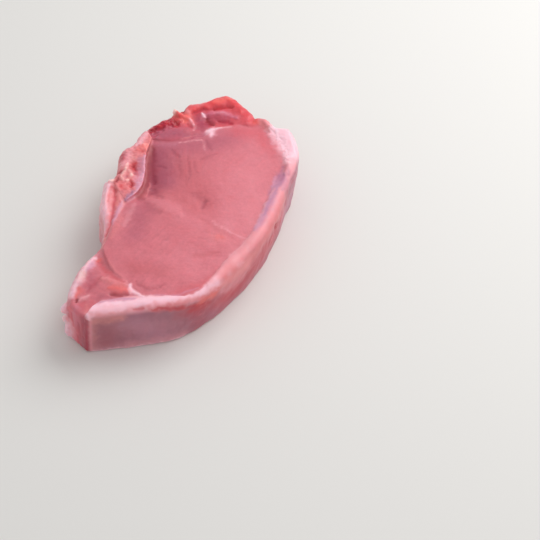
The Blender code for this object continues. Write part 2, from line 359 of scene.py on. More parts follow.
# the large eye of lean meat, sliced across its fibres
eyeMuscle = {
    "piece": "leanEye", "slot": "lean_meat",
    "top": "leanPink", "wall": "leanPink", "under": "leanPink",
    "fibre": (1, 1, 6),
    "unevenness": [(16, 0.3), (4.5, 0.09)],
    "ripples": [
        dict(at=[(-14, -18), (2, -28), (8, -40)], width=13, turned=76, size=1.5, long=5, height=0.06),
        dict(at=[(20, -36), (28, -24), (14, -12)], width=12, turned=24, size=1.4, long=6, height=0.05),
        dict(at=[(-12, 28), (-6, 16), (0, 8)], width=10, turned=120, size=1.7, long=6, height=0.07),
        dict(at=[(12, 10), (24, 12), (26, 0)], width=11, turned=30, size=1.2, long=6, height=0.03),
        dict(at=[(6, 34), (22, 44)], width=13, turned=70, size=1.5, long=5, height=0.03),
    ],
    "patches": [
        mark([(-10, 22), (0, 12), (8, 4), (-4, 4)], 11, "leanWarm", 0.8),
        mark([(-27, 31), (-16, 36), (-6, 41), (3, 49)], 7, "leanViolet", 0.6),
        mark([(-25, 26), (-19, 20), (-14, 12)], 6.5, "leanViolet", 0.85),
        # partly painted light: the pale patches on the lean's right side and along its ridge are its own
        # paler tone, painted lighter where the light falls on them
        mark([(22, 26), (29, 18), (31, 0)], 12, "leanPaleAndLit", 0.85),
        mark([(14, 46), (24, 42)], 9, "leanPaleAndLit", 0.3),
        mark([(-5.4, -2.9), (3, -5.9), (11.9, -7.2)], 4.5, "leanPaleAndLit", 0.5),
        mark([(-16, -8), (-12, -19), (-11, -24)], 5.5, "leanViolet", 0.5),
        mark([(-3, -42), (4.5, -39.5), (11, -37.5)], 4.5, "leanWarm", 0.7),
        mark([(14, -30), (31, -27)], 9, "leanPaleAndLit", 0.45),
        mark([(23, -44.5), (30, -38), (34, -28)], 2.5, "roseRed", 0.4),
        mark([(4, 55.5), (14, 58), (24, 53)], 5, "roseRed", 0.5),
    ],
    "details": [
        mark([(-30.6, 29.2, 25.3), (-28.9, 23.8, 24.5), (-26, 16.6, 24), (-23.4, 9, 23.9),
             (-21.3, 2.6, 24.7), (-20.6, -1.3, 25.5)], 1.9, "leanSlope", 0.9, stray=0.4, taper=0.1,
             spill=True),
        # painted shadow: the dark marks from here down to the broad soft one darken the hollow beside the
        # backbone, where the bone shades the lean; the hollow is sunk as well
        mark([(-28.6, 28.4), (-25.3, 21.6), (-22.6, 16.3), (-20, 12.7), (-18.4, 9.8)], 2.2, "leanDeepAndShadow",
             0.85, lift=-0.4, stray=0.4, taper=0.5),
        mark([(-20.6, 13.4), (-18.4, 8.6), (-16.6, 4.4), (-15.6, 2.4)], 3, "leanDeepAndShadow", 0.5, lift=-0.1,
             taper=0.6),
        mark([(-16.2, 3.4), (-15, 1.2), (-14.2, -0.6)], 1.5, lift=0.35, taper=0.1),
        mark([(-28.6, 25.2, 24), (-25.4, 18.6, 23.6), (-22.4, 12, 23.4), (-20.2, 6, 23.8)], 1.1, "leanDeepAndShadow",
             0.4, spill=True),
        mark([(-16.6, 5.6), (-14.6, 2.6), (-10.6, 1.6)], 2.4, "leanDeepAndShadow", 0.3, lift=-0.2),
        mark([(-17.8, -2.2), (-19.4, -4)], 1.6, "leanDeepAndShadow", 0.4, lift=-0.2),
        mark([(-26, 27), (-20, 19), (-15.4, 9), (-14, 4)], 4.2, "leanDeepAndShadow", 0.25, stray=0.5),
        mark([(-15.5, -5), (-12.2, -7), (-7, -8.6)], 3.4, "leanDeepAndShadow", 0.25, lift=-0.2),
        # partly painted light: the raised ridge is coloured lighter where the light catches it
        mark([(-14.7, -2.4), (-6.1, -3.6), (2, -5.4)], 3.4, "leanPaleAndLit", 0.3, lift=0.35),
        mark([(18.2, -2.4), (21.6, -3.9), (24.8, -3.9), (28.4, -4.9)], 1.2, "rosyFat", 0.5, lift=-0.1,
             ragged=0.6),
        mark([(25, -4.4), (30.6, -5.3), (34.5, -5.6), (37.4, -5.4)], 0.6, "rosyFat", 0.6, lift=0.1,
             ragged=0.4),
        mark([(13, -4.2), (20, -5.8), (30, -7.4)], 2, "leanWarm", 0.35, lift=-0.15),
        mark([(23, -9.6), (26.6, -9.3)], 1.5, "orangeRed", 0.5, ragged=0.6),
        mark([(21, -10.6), (28, -10)], 3, "salmon", 0.35),
        mark([(-14.8, 28.6), (-12.6, 25.8), (-11.4, 22.4), (-8.8, 19.5), (-8.4, 16.4)], 1, "leanDeepAndShadow", 0.2,
             lift=-0.12, ragged=0.4, taper=0.8),
        mark([(-11.2, 30.6), (-9.4, 27.2), (-7.2, 24.8), (-5.8, 21.6), (-3.9, 19.4), (-3.6, 15.6)], 1,
             "leanDeepAndShadow", 0.24, lift=-0.14, ragged=0.4, taper=0.8),
        mark([(-6.5, 27.7), (-4.4, 24.2), (-0.7, 21.6)], 0.9, "leanDeepAndShadow", 0.2, lift=-0.1, ragged=0.4),
        mark([(-22.2, 20.2), (-19.8, 20.8), (-17.1, 20.1)], 0.9, "leanDeepAndShadow", 0.35, lift=-0.18),
        mark([(-19.9, 31.5), (-17.6, 29.8), (-14.2, 28.8)], 1.1, "leanDeepAndShadow", 0.3, lift=-0.15),
        mark([(-3.7, 30.7), (-1, 34), (0.7, 36.3)], 1.3, "leanDeepAndShadow", 0.22, lift=-0.12),
        mark([(-6.9, 42.9), (-3.9, 39.6), (-1.8, 38)], 1.2, "leanDeepAndShadow", 0.25, lift=-0.12),
        mark([(9.4, 7.2), (10.4, 3.6)], 1.8, "leanDeepAndShadow", 0.45, lift=-0.4, taper=0.2),
        mark([(2, 8.8), (7.4, 8.8)], 2.2, "leanDeepAndShadow", 0.22, lift=-0.15),
        mark([(19, -24.4), (23.6, -21.6), (28, -18.4)], 1.6, "leanWarm", 0.5, lift=-0.12),
        mark([(2, -48.4), (7.5, -49.9), (11, -48.6), (14.6, -44.6)], 1.3, "leanDeepAndShadow", 0.3, lift=-0.18,
             ragged=0.5),
        mark([(-20.7, 9.4), (-19.4, 7.2), (-19.2, 4.8), (-18, 2.6), (-17.4, -0.6)], 0.42, "salmon", 0.55,
             lift=0.2),
        mark([(-29.8, 31.4), (-23.4, 33.6), (-18.4, 36.8)], 1.4, "lilac", 0.16, ragged=0.5),
        mark([(-18.6, 36.6), (-15.6, 38.6), (-12.3, 40.9), (-9.4, 42.4)], 0.65, "rosyFat", 0.55, lift=0.15,
             ragged=0.6),
        mark([(-9.4, 42.4), (-7.3, 40.8), (-6.2, 38.6), (-4.8, 36.7)], 0.75, "rosyFat", 0.4, lift=0.12,
             ragged=0.5),
        mark([(34.8, 42), (34.8, 36), (35, 30), (35.2, 24)], 1.7, "deepLilac", 0.5),
        mark([(11.1, -52.2), (21.9, -47.6), (29, -40)], 0.7, "lilac", 0.35),
        mark([(-23, -16), (-21, -22), (-20, -30)], 1.8, "salmon", 0.45, lift=0.2),
        mark([(-20, -6.6), (-19.3, -14.8), (-18, -21.5)], 1.5, "rosyFat", 0.35),
        mark([(-15.2, -42), (-9.6, -46.3), (-2, -49.4)], 0.8, "salmon", 0.35, lift=0.1),
        mark([(-14, 31), (-10, 26), (-7, 19), (-3, 13)], 1, "rosyFat", 0.3, face="under", lift=-0.1,
             ragged=0.6, stray=2),
        mark([(-4, 41), (4, 36), (11, 30), (17, 23)], 1.8, "leanDeepAndShadow", 0.2, face="under", lift=-0.15,
             stray=2),
        mark([(12, -6), (18, -10), (25, -12.6), (32, -13)], 1, "rosyFat", 0.35, face="under", lift=-0.1,
             ragged=0.6, stray=2),
        mark([(-12, -20), (-5, -24), (3, -27), (12, -31)], 2, "leanDeepAndShadow", 0.2, face="under", lift=-0.2,
             stray=2),
        mark([(-14, -6), (-4, -10), (4, -8)], 5, "leanPaleAndLit", 0.5, face="under"),
    ],
}

# the fat along the right and near side, with its skin on the wall
fatRim = {
    "piece": "rimFat", "slot": "rim_fat",
    "top": "rosyFat", "wall": "skinMauve", "under": "rosyFat",
    "fibre": (1, 1, 1),
    "unevenness": [(10, 0.3), (4.5, 0.05)],
    "ripples": [
        dict(at=[(43.4, 6, 13), (43.6, 24, 13), (39.5, 42, 13), (34, 56, 13)], width=13, turned=90,
             size=2.4, long=1.6, height=0.2, face="wall"),
        dict(at=[(2, -67, 12), (16, -59, 12), (28, -47, 12)], width=9, turned=34, size=1.5, long=1.4,
             height=0.07, face="wall"),
    ],
    "patches": [
        mark([(39, -28, 12), (42.6, -6, 13), (43.2, 22, 14)], 10, "roseRed", 0.75, face="wall"),
        mark([(43.4, 30, 9), (40.5, 41, 10), (35, 56, 12)], 7, "lilac", 0.4, face="wall"),
        mark([(36, 52, 20), (30, 61, 17), (22, 65, 12)], 5, "rosyFat", 0.45, face="wall"),
        mark([(-8.3, -68.4), (-5, -65), (1.1, -62), (6.2, -59.2), (11.2, -56), (14.6, -54), (18.4, -51.6),
             (22.2, -49.2), (26, -46.8), (29.2, -43.8), (32, -39.8)], 2.5, "paleFat", 0.95, face="upper"),
        mark([(-8.1, -70.8, 27.2), (-0.9, -67.5, 27.4), (3.6, -64.6, 27.8)], 1.7, "paleFat", 0.8),
        mark([(3.6, -64.2, 28.2), (12.4, -58.2, 28.4), (19, -53.2, 28.2), (24, -49.8, 27.5),
             (29.4, -45, 26.6)], 1.3, "paleFat", 0.8),
        mark([(36, -27), (38.4, -16), (39.4, -4), (39.4, 12)], 2.2, "rosyFat", 0.9, face="upper"),
        # painted light: the upper right shoulder of the fat is painted lighter pink where the light falls on
        # its rounding
        mark([(34.6, -35.2, 25.2), (36.8, -30.6, 23.6), (39.2, -23, 22.4), (41, -15.4, 21)], 4.4, "litFatPink",
             0.8),
        mark([(28.4, -45.8, 26.6), (32, -40, 26), (35.2, -33.2, 26)], 2.6, "paleFat", 0.9),
        mark([(19, 64.4), (24.5, 63), (29, 60.8), (34.2, 57), (36.4, 53)], 4.4, "paleFat", 0.85,
             face="upper"),
        mark([(37.4, 45.4), (39.5, 36), (41, 22)], 2.4, "rosyFat", 0.35, face="upper"),
        # partly painted light: the fat's own salmon along the top of the right wall, painted lighter where
        # the light falls on the shoulder
        mark([(42.6, 24, 24.5), (43.2, 6, 24), (42.4, -10, 23), (40.4, -19, 23), (38, -27, 23.5)], 5.2,
             "salmon", 0.8),
        mark([(43, 14, 17), (42.3, -6, 12), (38.1, -23, 8)], 4, "crimson", 0.3, face="wall"),
        mark([(-7.4, -73.2, 23.6), (-3.6, -71.8, 23.2), (0, -69.6, 23.2), (4, -67.2, 24)], 2.4, "skinTan",
             0.8),
        mark([(-5.9, -73.5, 23), (-6.6, -73.9, 14), (-7.4, -74.2, 4)], 2.3, "skinTan", 0.5, face="wall"),
        mark([(-1.7, -71.1, 18), (-0.5, -70.2, 12.8), (-3, -71.7, 6.6)], 5.6, "skinDark", 0.7, face="wall"),
        # partly painted sheen: the skin's lilac tone on the middle of the near wall, painted lighter and
        # bluer as the sheen on it
        mark([(9.8, -63.7, 18.9), (14.3, -60.4, 12.3), (17, -58.4, 6.3)], 6, "lilac", 0.25, face="wall"),
        mark([(29.4, -46.1, 17), (30.7, -43.8, 11), (31.1, -43.7, 5)], 5.5, "endRed", 0.5, face="wall"),
        mark([(26, -50.8, 20), (31, -43.6, 17.5), (33.4, -38.3, 14.5), (36, -31.3, 11), (38.2, -23.1, 9)],
             4, "clearRed", 0.32, face="wall"),
        mark([(5, -67, 16), (15, -60, 15), (22, -54.5, 14)], 5, "rosyFat", 0.15, face="wall"),
        # painted highlight: the foot of the near wall is painted lighter, with a pale line along its lowest
        # edge
        mark([(7, -65.2, 3), (13.7, -60.8, 3.4), (19.3, -56.9, 3.4), (25, -51.6, 3)], 3.4, "rosyFat", 0.42,
             face="wall"),
        mark([(-6, -73, 3.4), (0, -69.6, 3.4), (7, -65.2, 3.2)], 3, "rosyFat", 0.22, face="wall"),
        mark([(-8.6, -74.9, 0.4), (1, -69, 0.4), (11.1, -62.4, 0.4), (19.8, -56.3, 0.4),
             (25.5, -50.7, 0.6)], 1.8, "paleFat", 0.8),
    ],
    "details": [
        # partly painted highlight: the pale line down the rim's near corner is its fat edge, painted lighter
        # where the light catches it
        mark([(-7.4, -74.1, 24.6), (-7.9, -74.6, 17), (-8.6, -75, 9), (-9, -75.2, 0)], 1.1, "rosyFat", 0.85,
             stray=0.3, taper=0.1),
        mark([(-9.6, -74.3, 23.6), (-10, -75.3, 17), (-10.6, -75.6, 8), (-11.1, -75.8, 0)], 1.7, "endRed",
             0.9, stray=0.4, taper=0.1, spill=True),
        mark([(-8.8, -73.4, 26.6), (-7.6, -73.9, 25)], 1.6, "paleFat", 0.95, lift=0.3),
        mark([(-8.4, -66.2), (-5, -62.2), (0.9, -58.8), (5.9, -57.4)], 1.5, "lilac", 0.9),
        mark([(8.4, -62.2, 26.9), (10.2, -61.2, 26.8), (12, -60.2, 26.7)], 1, "clearRed", 0.55, lift=-0.2),
        mark([(15, -55.2, 28), (16.4, -57, 27.4)], 1.1, "salmon", 0.4),
        mark([(21.6, -53.8, 26.8), (26.8, -49.4, 26.2), (30, -45, 25), (32.4, -41.2, 24)], 1.5, "salmon",
             0.75),
        mark([(14.4, -59, 26.4), (20.4, -55.6, 25.6), (27, -50.2, 23.8)], 1.7, "salmon", 0.6),
        mark([(15.6, -58.4, 25.9), (20.3, -55.7, 25.7), (24, -53.3, 24.8), (27.2, -50.2, 23.4),
             (30, -46, 21.6), (32.2, -41.6, 19.4)], 1.25, "clearRed", 0.65, lift=-0.2),
        mark([(31.4, -43.2, 21.6), (33.2, -39.4, 21.6), (35, -35.4, 20.6)], 3, "orangeRed", 0.85,
             taper=0.2),
        mark([(28.6, -48, 19.8), (31.2, -43.6, 18), (33.4, -38.8, 16.4)], 3, "clearRed", 0.65),
        mark([(36.4, -31.2, 17.5), (38.6, -23.2, 14.5), (40.6, -16.6, 15)], 3.2, "rosyFat", 0.45),
        mark([(36.6, -31.4, 25.8), (37.8, -27.6, 25)], 1.3, "salmon", 0.6),
        mark([(39, -20.6, 26), (40.4, -17.7, 25)], 1.9, "rosyFat", 0.7),
        mark([(37.8, -26.2, 25.4)], 1.4, "rosyFat", 0.6),
        mark([(35.6, 43), (36, 39.6)], 1.3, "purpleRed", 0.25, spill=True),
        mark([(35.9, 38), (36.3, 33.6), (36.4, 28)], 2, "deepLilac", 0.5, lift=-0.1, spill=True),
        mark([(36, 36.4), (36.3, 33.4)], 1.3, "purpleRed", 0.15, spill=True),
        mark([(33.3, 35.4), (34.2, 31.2), (35, 27)], 0.9, "lilac", 0.6, spill=True),
        mark([(36.6, 28.6), (37.4, 21.6), (38, 14.2), (38.4, 6.4), (38.2, 0)], 2.1, "lilac", 0.9),
        mark([(37.2, 26.6), (37.8, 18), (38.2, 10)], 1.2, "deepLilac", 0.35),
        mark([(37.8, 40), (39, 34), (39.7, 28)], 1.9, "marrowPink", 0.7, face="upper"),
        mark([(18.6, 61.8), (21.6, 59.2), (25.2, 56.2), (29.2, 53.2), (32, 50.2), (33.8, 46.6)], 2.8,
             "paleFat", 0.9, lift=0.9, ragged=0.2, taper=0.25, spill=True),
        mark([(33.8, 47.2), (35.2, 43), (36.4, 38)], 2, lift=0.5, spill=True),
        # partly painted light: the fat's white carried down over the step between lean and fat, to lighten
        # the shade on the step
        mark([(20.2, 61.9), (24.2, 59.2), (28, 56.4), (31.8, 53), (34.6, 49.2)], 1.5, "paleFat", 0.9,
             face="all", taper=0.1, spill=True),
        mark([(9, 64.8), (13, 64.6), (16.2, 63.4), (18.4, 62.2)], 1.8, lift=0.6, spill=True),
        mark([(9.6, 67, 27), (13.2, 66.8, 27.6), (17.6, 65.4, 27.6)], 1.7, "salmon", 0.45, spill=True),
        mark([(12, 65.6, 26.8), (14.6, 64.6, 26.4), (17, 63.2, 25.8)], 1.5, "salmon", 0.7, taper=0.2,
             spill=True),
        mark([(17.2, 62.8, 25.4), (19, 61.4, 25.4), (21.6, 59.4, 25.4)], 1.4, "rosyFat", 0.75, taper=0.2,
             spill=True),
        mark([(8.4, 64), (11.4, 64.2)], 1.8, "orangeRed", 0.6, face="upper", spill=True),
        mark([(12.4, 64.2), (16, 63), (18.6, 60.6)], 1.6, "salmon", 0.6, face="upper", spill=True),
        # painted highlight: a pale line along the foot of the right and far walls
        mark([(30.6, -43.8, 0.6), (38.4, -26, 0.6), (43, -4, 0.6), (43.6, 20, 0.6), (39, 42, 0.6)], 1.7,
             "rosyFat", 0.7),
        mark([(42.9, 3, 7.5), (43.6, 14, 9.4), (43.3, 27, 8.2), (40.6, 39, 10.5)], 1.2, "rosyFat", 0.45,
             face="wall", lift=0.25, ragged=0.3),
        mark([(43.2, 8, 15.5), (43.7, 21, 14.2), (41.4, 35, 16.4), (37.6, 48, 15.2)], 1.8, "rosyFat", 0.4,
             face="wall", lift=0.2, ragged=0.3),
        mark([(43.4, 12, 21), (43.8, 13.4, 13), (43.6, 12.2, 4)], 1.5, "crimson", 0.3, face="wall",
             lift=-0.5, stray=1.5),
        mark([(43.2, 29, 20), (42.9, 30.8, 12), (43.2, 29.4, 5)], 1.2, "skinDark", 0.5, face="wall",
             lift=-0.45, stray=1.5),
        mark([(38.4, 45.4, 21), (38, 46.6, 12), (38.6, 45, 4)], 1.6, "skinDark", 0.45, face="wall",
             lift=-0.5, stray=1.5),
        mark([(41.6, 36, 23), (39, 44.6, 22.4), (36.4, 52, 22.6)], 1.3, "clearRed", 0.3, face="wall",
             lift=-0.3, ragged=0.4),
    ],
}

# the redder muscle outside the eye at the far end, folded and torn
capMuscle = {
    "piece": "capMeat", "slot": "cap_meat",
    "top": "roseRed", "wall": "capOuter", "under": "roseRed",
    "fibre": (1, 1, 5),
    "unevenness": [(7, 0.3), (2.6, 0.12)],
    "patches": [
        mark([(-32, 36), (-24, 40.5), (-16, 44), (-11, 47)], 5.6, "leanViolet", 0.95),
        mark([(-18, 45), (-13, 47)], 2.5, "leanWarm", 0.5),
        mark([(-20, 55.4), (-16.5, 54.9), (-14, 53.7)], 3.6, "purpleRed", 0.85),
        mark([(-16.5, 58.6), (-10, 59.6), (-5, 60.6)], 3.2, "purpleRed", 0.6),
        mark([(-23.6, 57.6), (-20.8, 62), (-16.4, 65.4), (-12, 69.4), (-9, 72.4), (-3.4, 70.6)], 3.4,
             "freshRed", 1, face="upper"),
        mark([(-0.1, 68.6), (5, 65.6), (9, 63.6)], 3, "freshRed", 0.6, face="upper"),
        mark([(-1, 61.6), (5, 61.6), (10, 60.6)], 2.2, "roseRed", 0.6),
        mark([(-24, 56, 10), (-16, 66, 16), (-8, 74, 9)], 6, "purpleRed", 0.6, face="wall"),
        mark([(-22, 60, 5), (-12, 70, 3)], 4, "leanViolet", 0.6, face="wall"),
        mark([(-4, 71, 18), (4, 67, 12), (10, 65, 6)], 5, "leanViolet", 0.6, face="wall"),
    ],
    "details": [
        mark([(-23.8, 56.8), (-21.1, 61.2), (-16.7, 65), (-12.6, 68.6), (-9.6, 71.8), (-5.4, 70.4),
             (-0.1, 68)], 2.8, lift=0.6),
        mark([(-14.6, 67.4), (-10.6, 71.4), (-7.6, 72.2)], 1.8, "orangeRed", 0.8, face="upper"),
        mark([(-21.4, 57.2), (-18.6, 60.6), (-15.6, 62.4), (-12.8, 63.4)], 1, "crimson", 0.4, lift=-0.5),
        mark([(-26, 60.4, 25.6), (-21.8, 62.4, 27), (-17.7, 65.6, 27)], 1.6, "salmon", 0.6),
        mark([(-12.8, 63.8), (-10.2, 65.7), (-7.3, 67.4), (-4.5, 67.6)], 1.3, "clearRed", 0.8, lift=-0.9),
        mark([(-15.1, 59.9), (-12.3, 61.6), (-8.4, 63.3), (-3.5, 63.4), (0.4, 62.9)], 1.5, "orchid", 0.8,
             lift=0.35),
        mark([(-12, 61.8), (-8, 63.4), (-4.5, 63.4)], 0.8, "rosyFat", 0.4, ragged=0.5),
        mark([(-17.3, 59.3), (-14.7, 57.9)], 0.8, "paleFat", 0.95, lift=0.35),
        mark([(-13.8, 57.2), (-11.6, 55.4), (-9, 54.6)], 1.5, "bloodRed", 0.7, lift=-0.6),
        mark([(-7.6, 58), (-3, 59.2), (-0.4, 58.8)], 1.2, "crimson", 0.7, lift=-0.4),
        mark([(-9.6, 49.6), (-8.4, 50.2), (-6.6, 52.2), (-4.4, 53.8)], 1.2, "paleFat", 0.95, lift=0.3,
             spill=True),
        mark([(-5.2, 53.2), (-3.6, 54.4), (-1.8, 55.6), (0, 56.4)], 0.8, "rosyFat", 0.6, lift=0.15,
             spill=True),
        mark([(-9, 50.2), (-7.4, 48.8), (-6, 47.4)], 1.7, "paleFat", 0.95, lift=0.25, taper=0.2,
             spill=True),
        mark([(-24.2, 53, 26.4), (-22.4, 53.6, 27.4), (-20, 52.8, 27.4), (-17.6, 50.6, 27),
             (-15.8, 48, 26.4)], 1.2, "rosyFat", 0.9),
        mark([(-21, 53.6, 27.2), (-18.4, 51.8, 27.2), (-16.2, 48.6, 26.6)], 0.7, "paleFat", 0.8,
             spill=True),
        mark([(-20.6, 49.8), (-18, 48.6)], 1.2, "crimson", 0.45, lift=-0.4),
        mark([(-23, 55), (-24.6, 57.4)], 1.4, "rosyFat", 0.75, face="upper"),
        mark([(-22.6, 53.2, 24.6), (-24.6, 52.8, 26.2), (-27.4, 53.4, 26.9), (-29, 53.9, 27)], 3,
             "orangeRed", 1, taper=0, spill=True),
        mark([(-30.2, 54.2, 27.1), (-32.6, 55, 27.6)], 1.9, "boneWhite", 1, taper=0, spill=True),
        mark([(-19, 38.4), (-16.3, 41.2), (-13.3, 44.2)], 0.7, "salmon", 0.45, lift=0.12, ragged=0.6),
    ],
}

# the sawn backbone: porous, with red marrow and a bluish edge
vertebraBone = {
    "piece": "backbone", "slot": "sawn_bone",
    "top": "salmon", "wall": "salmon", "under": "salmon",
    "fibre": (1, 1, 2),
    "unevenness": [(4.2, 0.2), (1.5, 0.1)],
    "cells": dict(size=2, depth=0.14, colour="crimson", strength=0.22),
    "patches": [
        mark([(-37.1, 18.7), (-36.3, 15.4), (-36.2, 11.4)], 2.3, "rosyFat", 0.9),
        mark([(-39.2, 20.5), (-37.6, 22.8)], 1.8, "rosyFat", 0.6, face="upper"),
        mark([(-38.9, 17.8), (-38.1, 14.8)], 1.8, "crimson", 0.65, face="upper"),
        mark([(-33, -1.6), (-31.1, -2.9), (-29.6, -1.4)], 2.2, "freshRed", 0.6),
        mark([(-29.8, 17.5), (-28.5, 15), (-27.4, 12.3)], 2.2, "marrowPink", 0.8),
        mark([(-25.6, 10.2), (-24.6, 7.4), (-23.3, 3)], 2, "lilac", 0.7),
        mark([(-40.5, 17, 13), (-39.5, 27, 8)], 6, "rosyFat", 0.5, face="wall"),
        mark([(-40, 8, 15), (-37.5, 0, 9)], 4, "crimson", 0.35, face="wall"),
        mark([(-38.6, 30, 20), (-38, 34, 10), (-36, 37, 3)], 3.4, "crimson", 0.5, face="wall"),
    ],
    "details": [
        mark([(-28.7, 20.7), (-27.4, 18.1), (-26, 14.9), (-24.7, 11.2), (-23.6, 8.4), (-22.6, 5.9),
             (-22, 2.2), (-21.9, -0.9), (-22.8, -4.3), (-24.3, -7.8)], 1.35, "boneLilac", 0.95, lift=0.5,
             ragged=0.15, taper=0.2),
        mark([(-23.9, -2.2), (-24.1, -4.8), (-24.7, -7.6)], 1.7, "boneBlue", 0.75, lift=-0.3, ragged=0.1),
        mark([(-33.6, 17)], 1.3, "skinTan", 0.6),
        mark([(-31.9, 14.4), (-31, 12.8), (-29.7, 11.2)], 2, "clearRed", 0.95, lift=-0.8, ragged=0.15,
             taper=0.2),
        mark([(-31.5, 13.6), (-30.6, 12.2)], 1, "bloodRed", 0.45, lift=-0.3),
        mark([(-29.2, 11.2), (-28.1, 9.9), (-27.2, 8.2)], 1.6, "crimson", 0.55, lift=-0.3),
        mark([(-27.2, 3.5), (-26.6, 1.9), (-26.3, 0.7)], 1.6, "clearRed", 0.95, lift=-0.7, ragged=0.15),
        mark([(-26.7, 2)], 0.9, "bloodRed", 0.5, lift=-0.3),
        mark([(-35.9, 6.2), (-34.7, 8)], 1.2, "bloodRed", 0.75, lift=-0.5),
        mark([(-34.4, 2.8), (-33.7, 0.6)], 1.2, "bloodRed", 0.75, lift=-0.5),
        mark([(-30.9, 5.2)], 0.9, "purpleRed", 0.45, lift=-0.5),
        mark([(-31.6, -3.9), (-30.6, -1.9)], 1.3, "freshRed", 0.7),
        # partly painted light: a pale line over the step from the backbone down to the strip, the pink of
        # the strip's edge painted lighter to take out the shade on the step
        mark([(-32.9, -0.9), (-29.8, -4.9), (-26.4, -9)], 1.1, "salmon", 0.85, lift=0.35, spill=True),
        mark([(-34.5, 13.2), (-33.3, 8.8), (-33.1, 5.2)], 0.85, "boneWhite", 0.7, lift=0.35, ragged=0.4,
             stray=0.6),
        mark([(-33.2, 4.6), (-32.2, 3.4), (-31.4, 2.4)], 0.7, "boneWhite", 0.5, lift=0.3, ragged=0.6,
             stray=0.6),
        mark([(-31.9, 9.6), (-30.2, 8), (-29.1, 6.7)], 0.7, "boneWhite", 0.35, lift=0.3, ragged=0.6,
             stray=0.6),
        mark([(-29.1, 6.9)], 0.8, "boneWhite", 0.85, lift=0.25),
        mark([(-30, 3.2), (-28.9, 3.8)], 0.7, "boneWhite", 0.7, lift=0.2),
        mark([(-36.4, 1.4)], 0.9, "boneWhite", 0.95, face="upper", lift=0.2),
        mark([(-36.4, 1.2, 26.2), (-38.8, 0, 27.4)], 1, "boneWhite", 0.95, spill=True),
        mark([(-28.9, -4.7)], 1.4, "purpleRed", 0.5, lift=-0.2),
        mark([(-33.6, 26.8), (-33.2, 23.2), (-30.4, 24.2)], 1.9, "orangeRed", 0.4, lift=0.2),
        mark([(-33.6, 27.2), (-32, 27.4), (-30.4, 25.6)], 1.6, "peach", 0.85, lift=0.2),
        mark([(-31.4, 23.1)], 1.1, "clearRed", 0.7, lift=-0.25),
        mark([(-35.7, 36), (-36, 31), (-36.4, 25.4)], 2, "paleFat", 0.55, face="upper", lift=0.2),
        mark([(-38.5, 1, 24), (-38.2, 0, 14), (-37.8, -1, 3)], 2.2, "salmon", 0.7, face="wall", ragged=0.5,
             spill=True),
        mark([(-39.6, 3, 19), (-39, -4, 17)], 1.6, "roseRed", 0.5, face="wall", ragged=0.4, spill=True),
    ],
}

# the dark, porous bone between the backbone and the far muscle
featherBone = {
    "piece": "featherBone", "slot": "red_marrow",
    "top": "crimson", "wall": "crimson", "under": "crimson",
    "fibre": (1, 1, 2),
    "unevenness": [(3, 0.4), (1.5, 0.14)],
    "cells": dict(size=3, depth=0.3, colour="bloodRed", strength=0.55),
    "patches": [
        mark([(-37.4, 36), (-37, 39.6), (-35.4, 42.6)], 1.2, "rosyFat", 0.8, face="upper"),
        mark([(-32.6, 36.4), (-29, 40.6), (-26, 43.2)], 1.6, "leanViolet", 0.8),
    ],
    "details": [
        mark([(-24.6, 53), (-26.6, 51.8)], 1.6, "freshRed", 0.7, face="upper", spill=True),
        mark([(-35.5, 38.4), (-33.4, 40.2)], 1.6, "bloodRed", 0.8, lift=-0.5),
        mark([(-27.4, 48.6), (-25.6, 48.4), (-24.6, 46.9)], 1.5, "bloodRed", 0.9, lift=-0.6),
        mark([(-33, 42.4), (-31.2, 42.6)], 1, "clearRed", 0.75, lift=0.4),
        mark([(-30.4, 45.8), (-28.8, 45.6)], 1.1, "clearRed", 0.9, lift=0.4),
        mark([(-25.4, 45.4), (-23.4, 44.6)], 1.3, "clearRed", 0.9, lift=0.5),
        mark([(-34.4, 43.6), (-32.6, 46), (-30.6, 48.2)], 0.7, "roseRed", 0.7, face="upper", lift=0.25),
    ],
}

# the strip of membrane and fat below the backbone
ribStrip = {
    "piece": "ribStrip", "slot": "sinew",
    "top": "salmon", "wall": "rosyFat", "under": "rosyFat",
    "fibre": (1, 6, 1), "turned": 22,
    "unevenness": [(3.4, 0.25), (1.5, 0.08)],
    "patches": [
        mark([(-38.6, 0), (-36, -9.5), (-31, -18.4), (-27, -27)], 3, "paleFat", 0.8, face="upper"),
        mark([(-37.5, -3, 9), (-34.5, -12, 15), (-30, -21, 8)], 2.6, "roseRed", 0.45, face="wall"),
        mark([(-33, -16, 4), (-28, -26, 11)], 3, "lilac", 0.4, face="wall"),
        mark([(-37, -3, 19), (-32, -16, 21), (-27, -27, 19)], 2.4, "salmon", 0.6, face="wall"),
        mark([(-38, 0, 4), (-34, -12, 3)], 3.2, "endPink", 0.5, face="wall"),
    ],
    "details": [
        mark([(-36.4, -2.3), (-33.2, -10.9), (-29.6, -18.4), (-26.8, -26)], 1.3, "paleFat", 0.5, lift=0.5),
        mark([(-32.4, -3.4), (-30, -8.4), (-27.6, -14.4), (-25.2, -21.5), (-23.8, -29)], 1.2, "roseRed",
             0.8, lift=-0.8),
        mark([(-34.4, -5.2), (-31.8, -12)], 0.6, "orangeRed", 0.5, lift=-0.3),
        mark([(-34.8, -2.6), (-31.8, -4.2)], 1.4, "clearRed", 0.6),
        mark([(-25.8, -9), (-24.6, -16), (-23.6, -22.7)], 1.3, "lilac", 0.8, lift=0.35),
        mark([(-25.4, -30, 24), (-25.2, -32, 13), (-25, -30, 2)], 2.8, "rosyFat", 0.6, face="wall",
             ragged=0.5, spill=True),
        mark([(-26.4, -28, 16), (-24.6, -35, 14)], 1.6, "roseRed", 0.5, face="wall", ragged=0.4,
             spill=True),
        mark([(-27.4, -24, 9), (-24.4, -37, 7)], 1.3, "paleFat", 0.5, face="wall", ragged=0.5, spill=True),
    ],
}

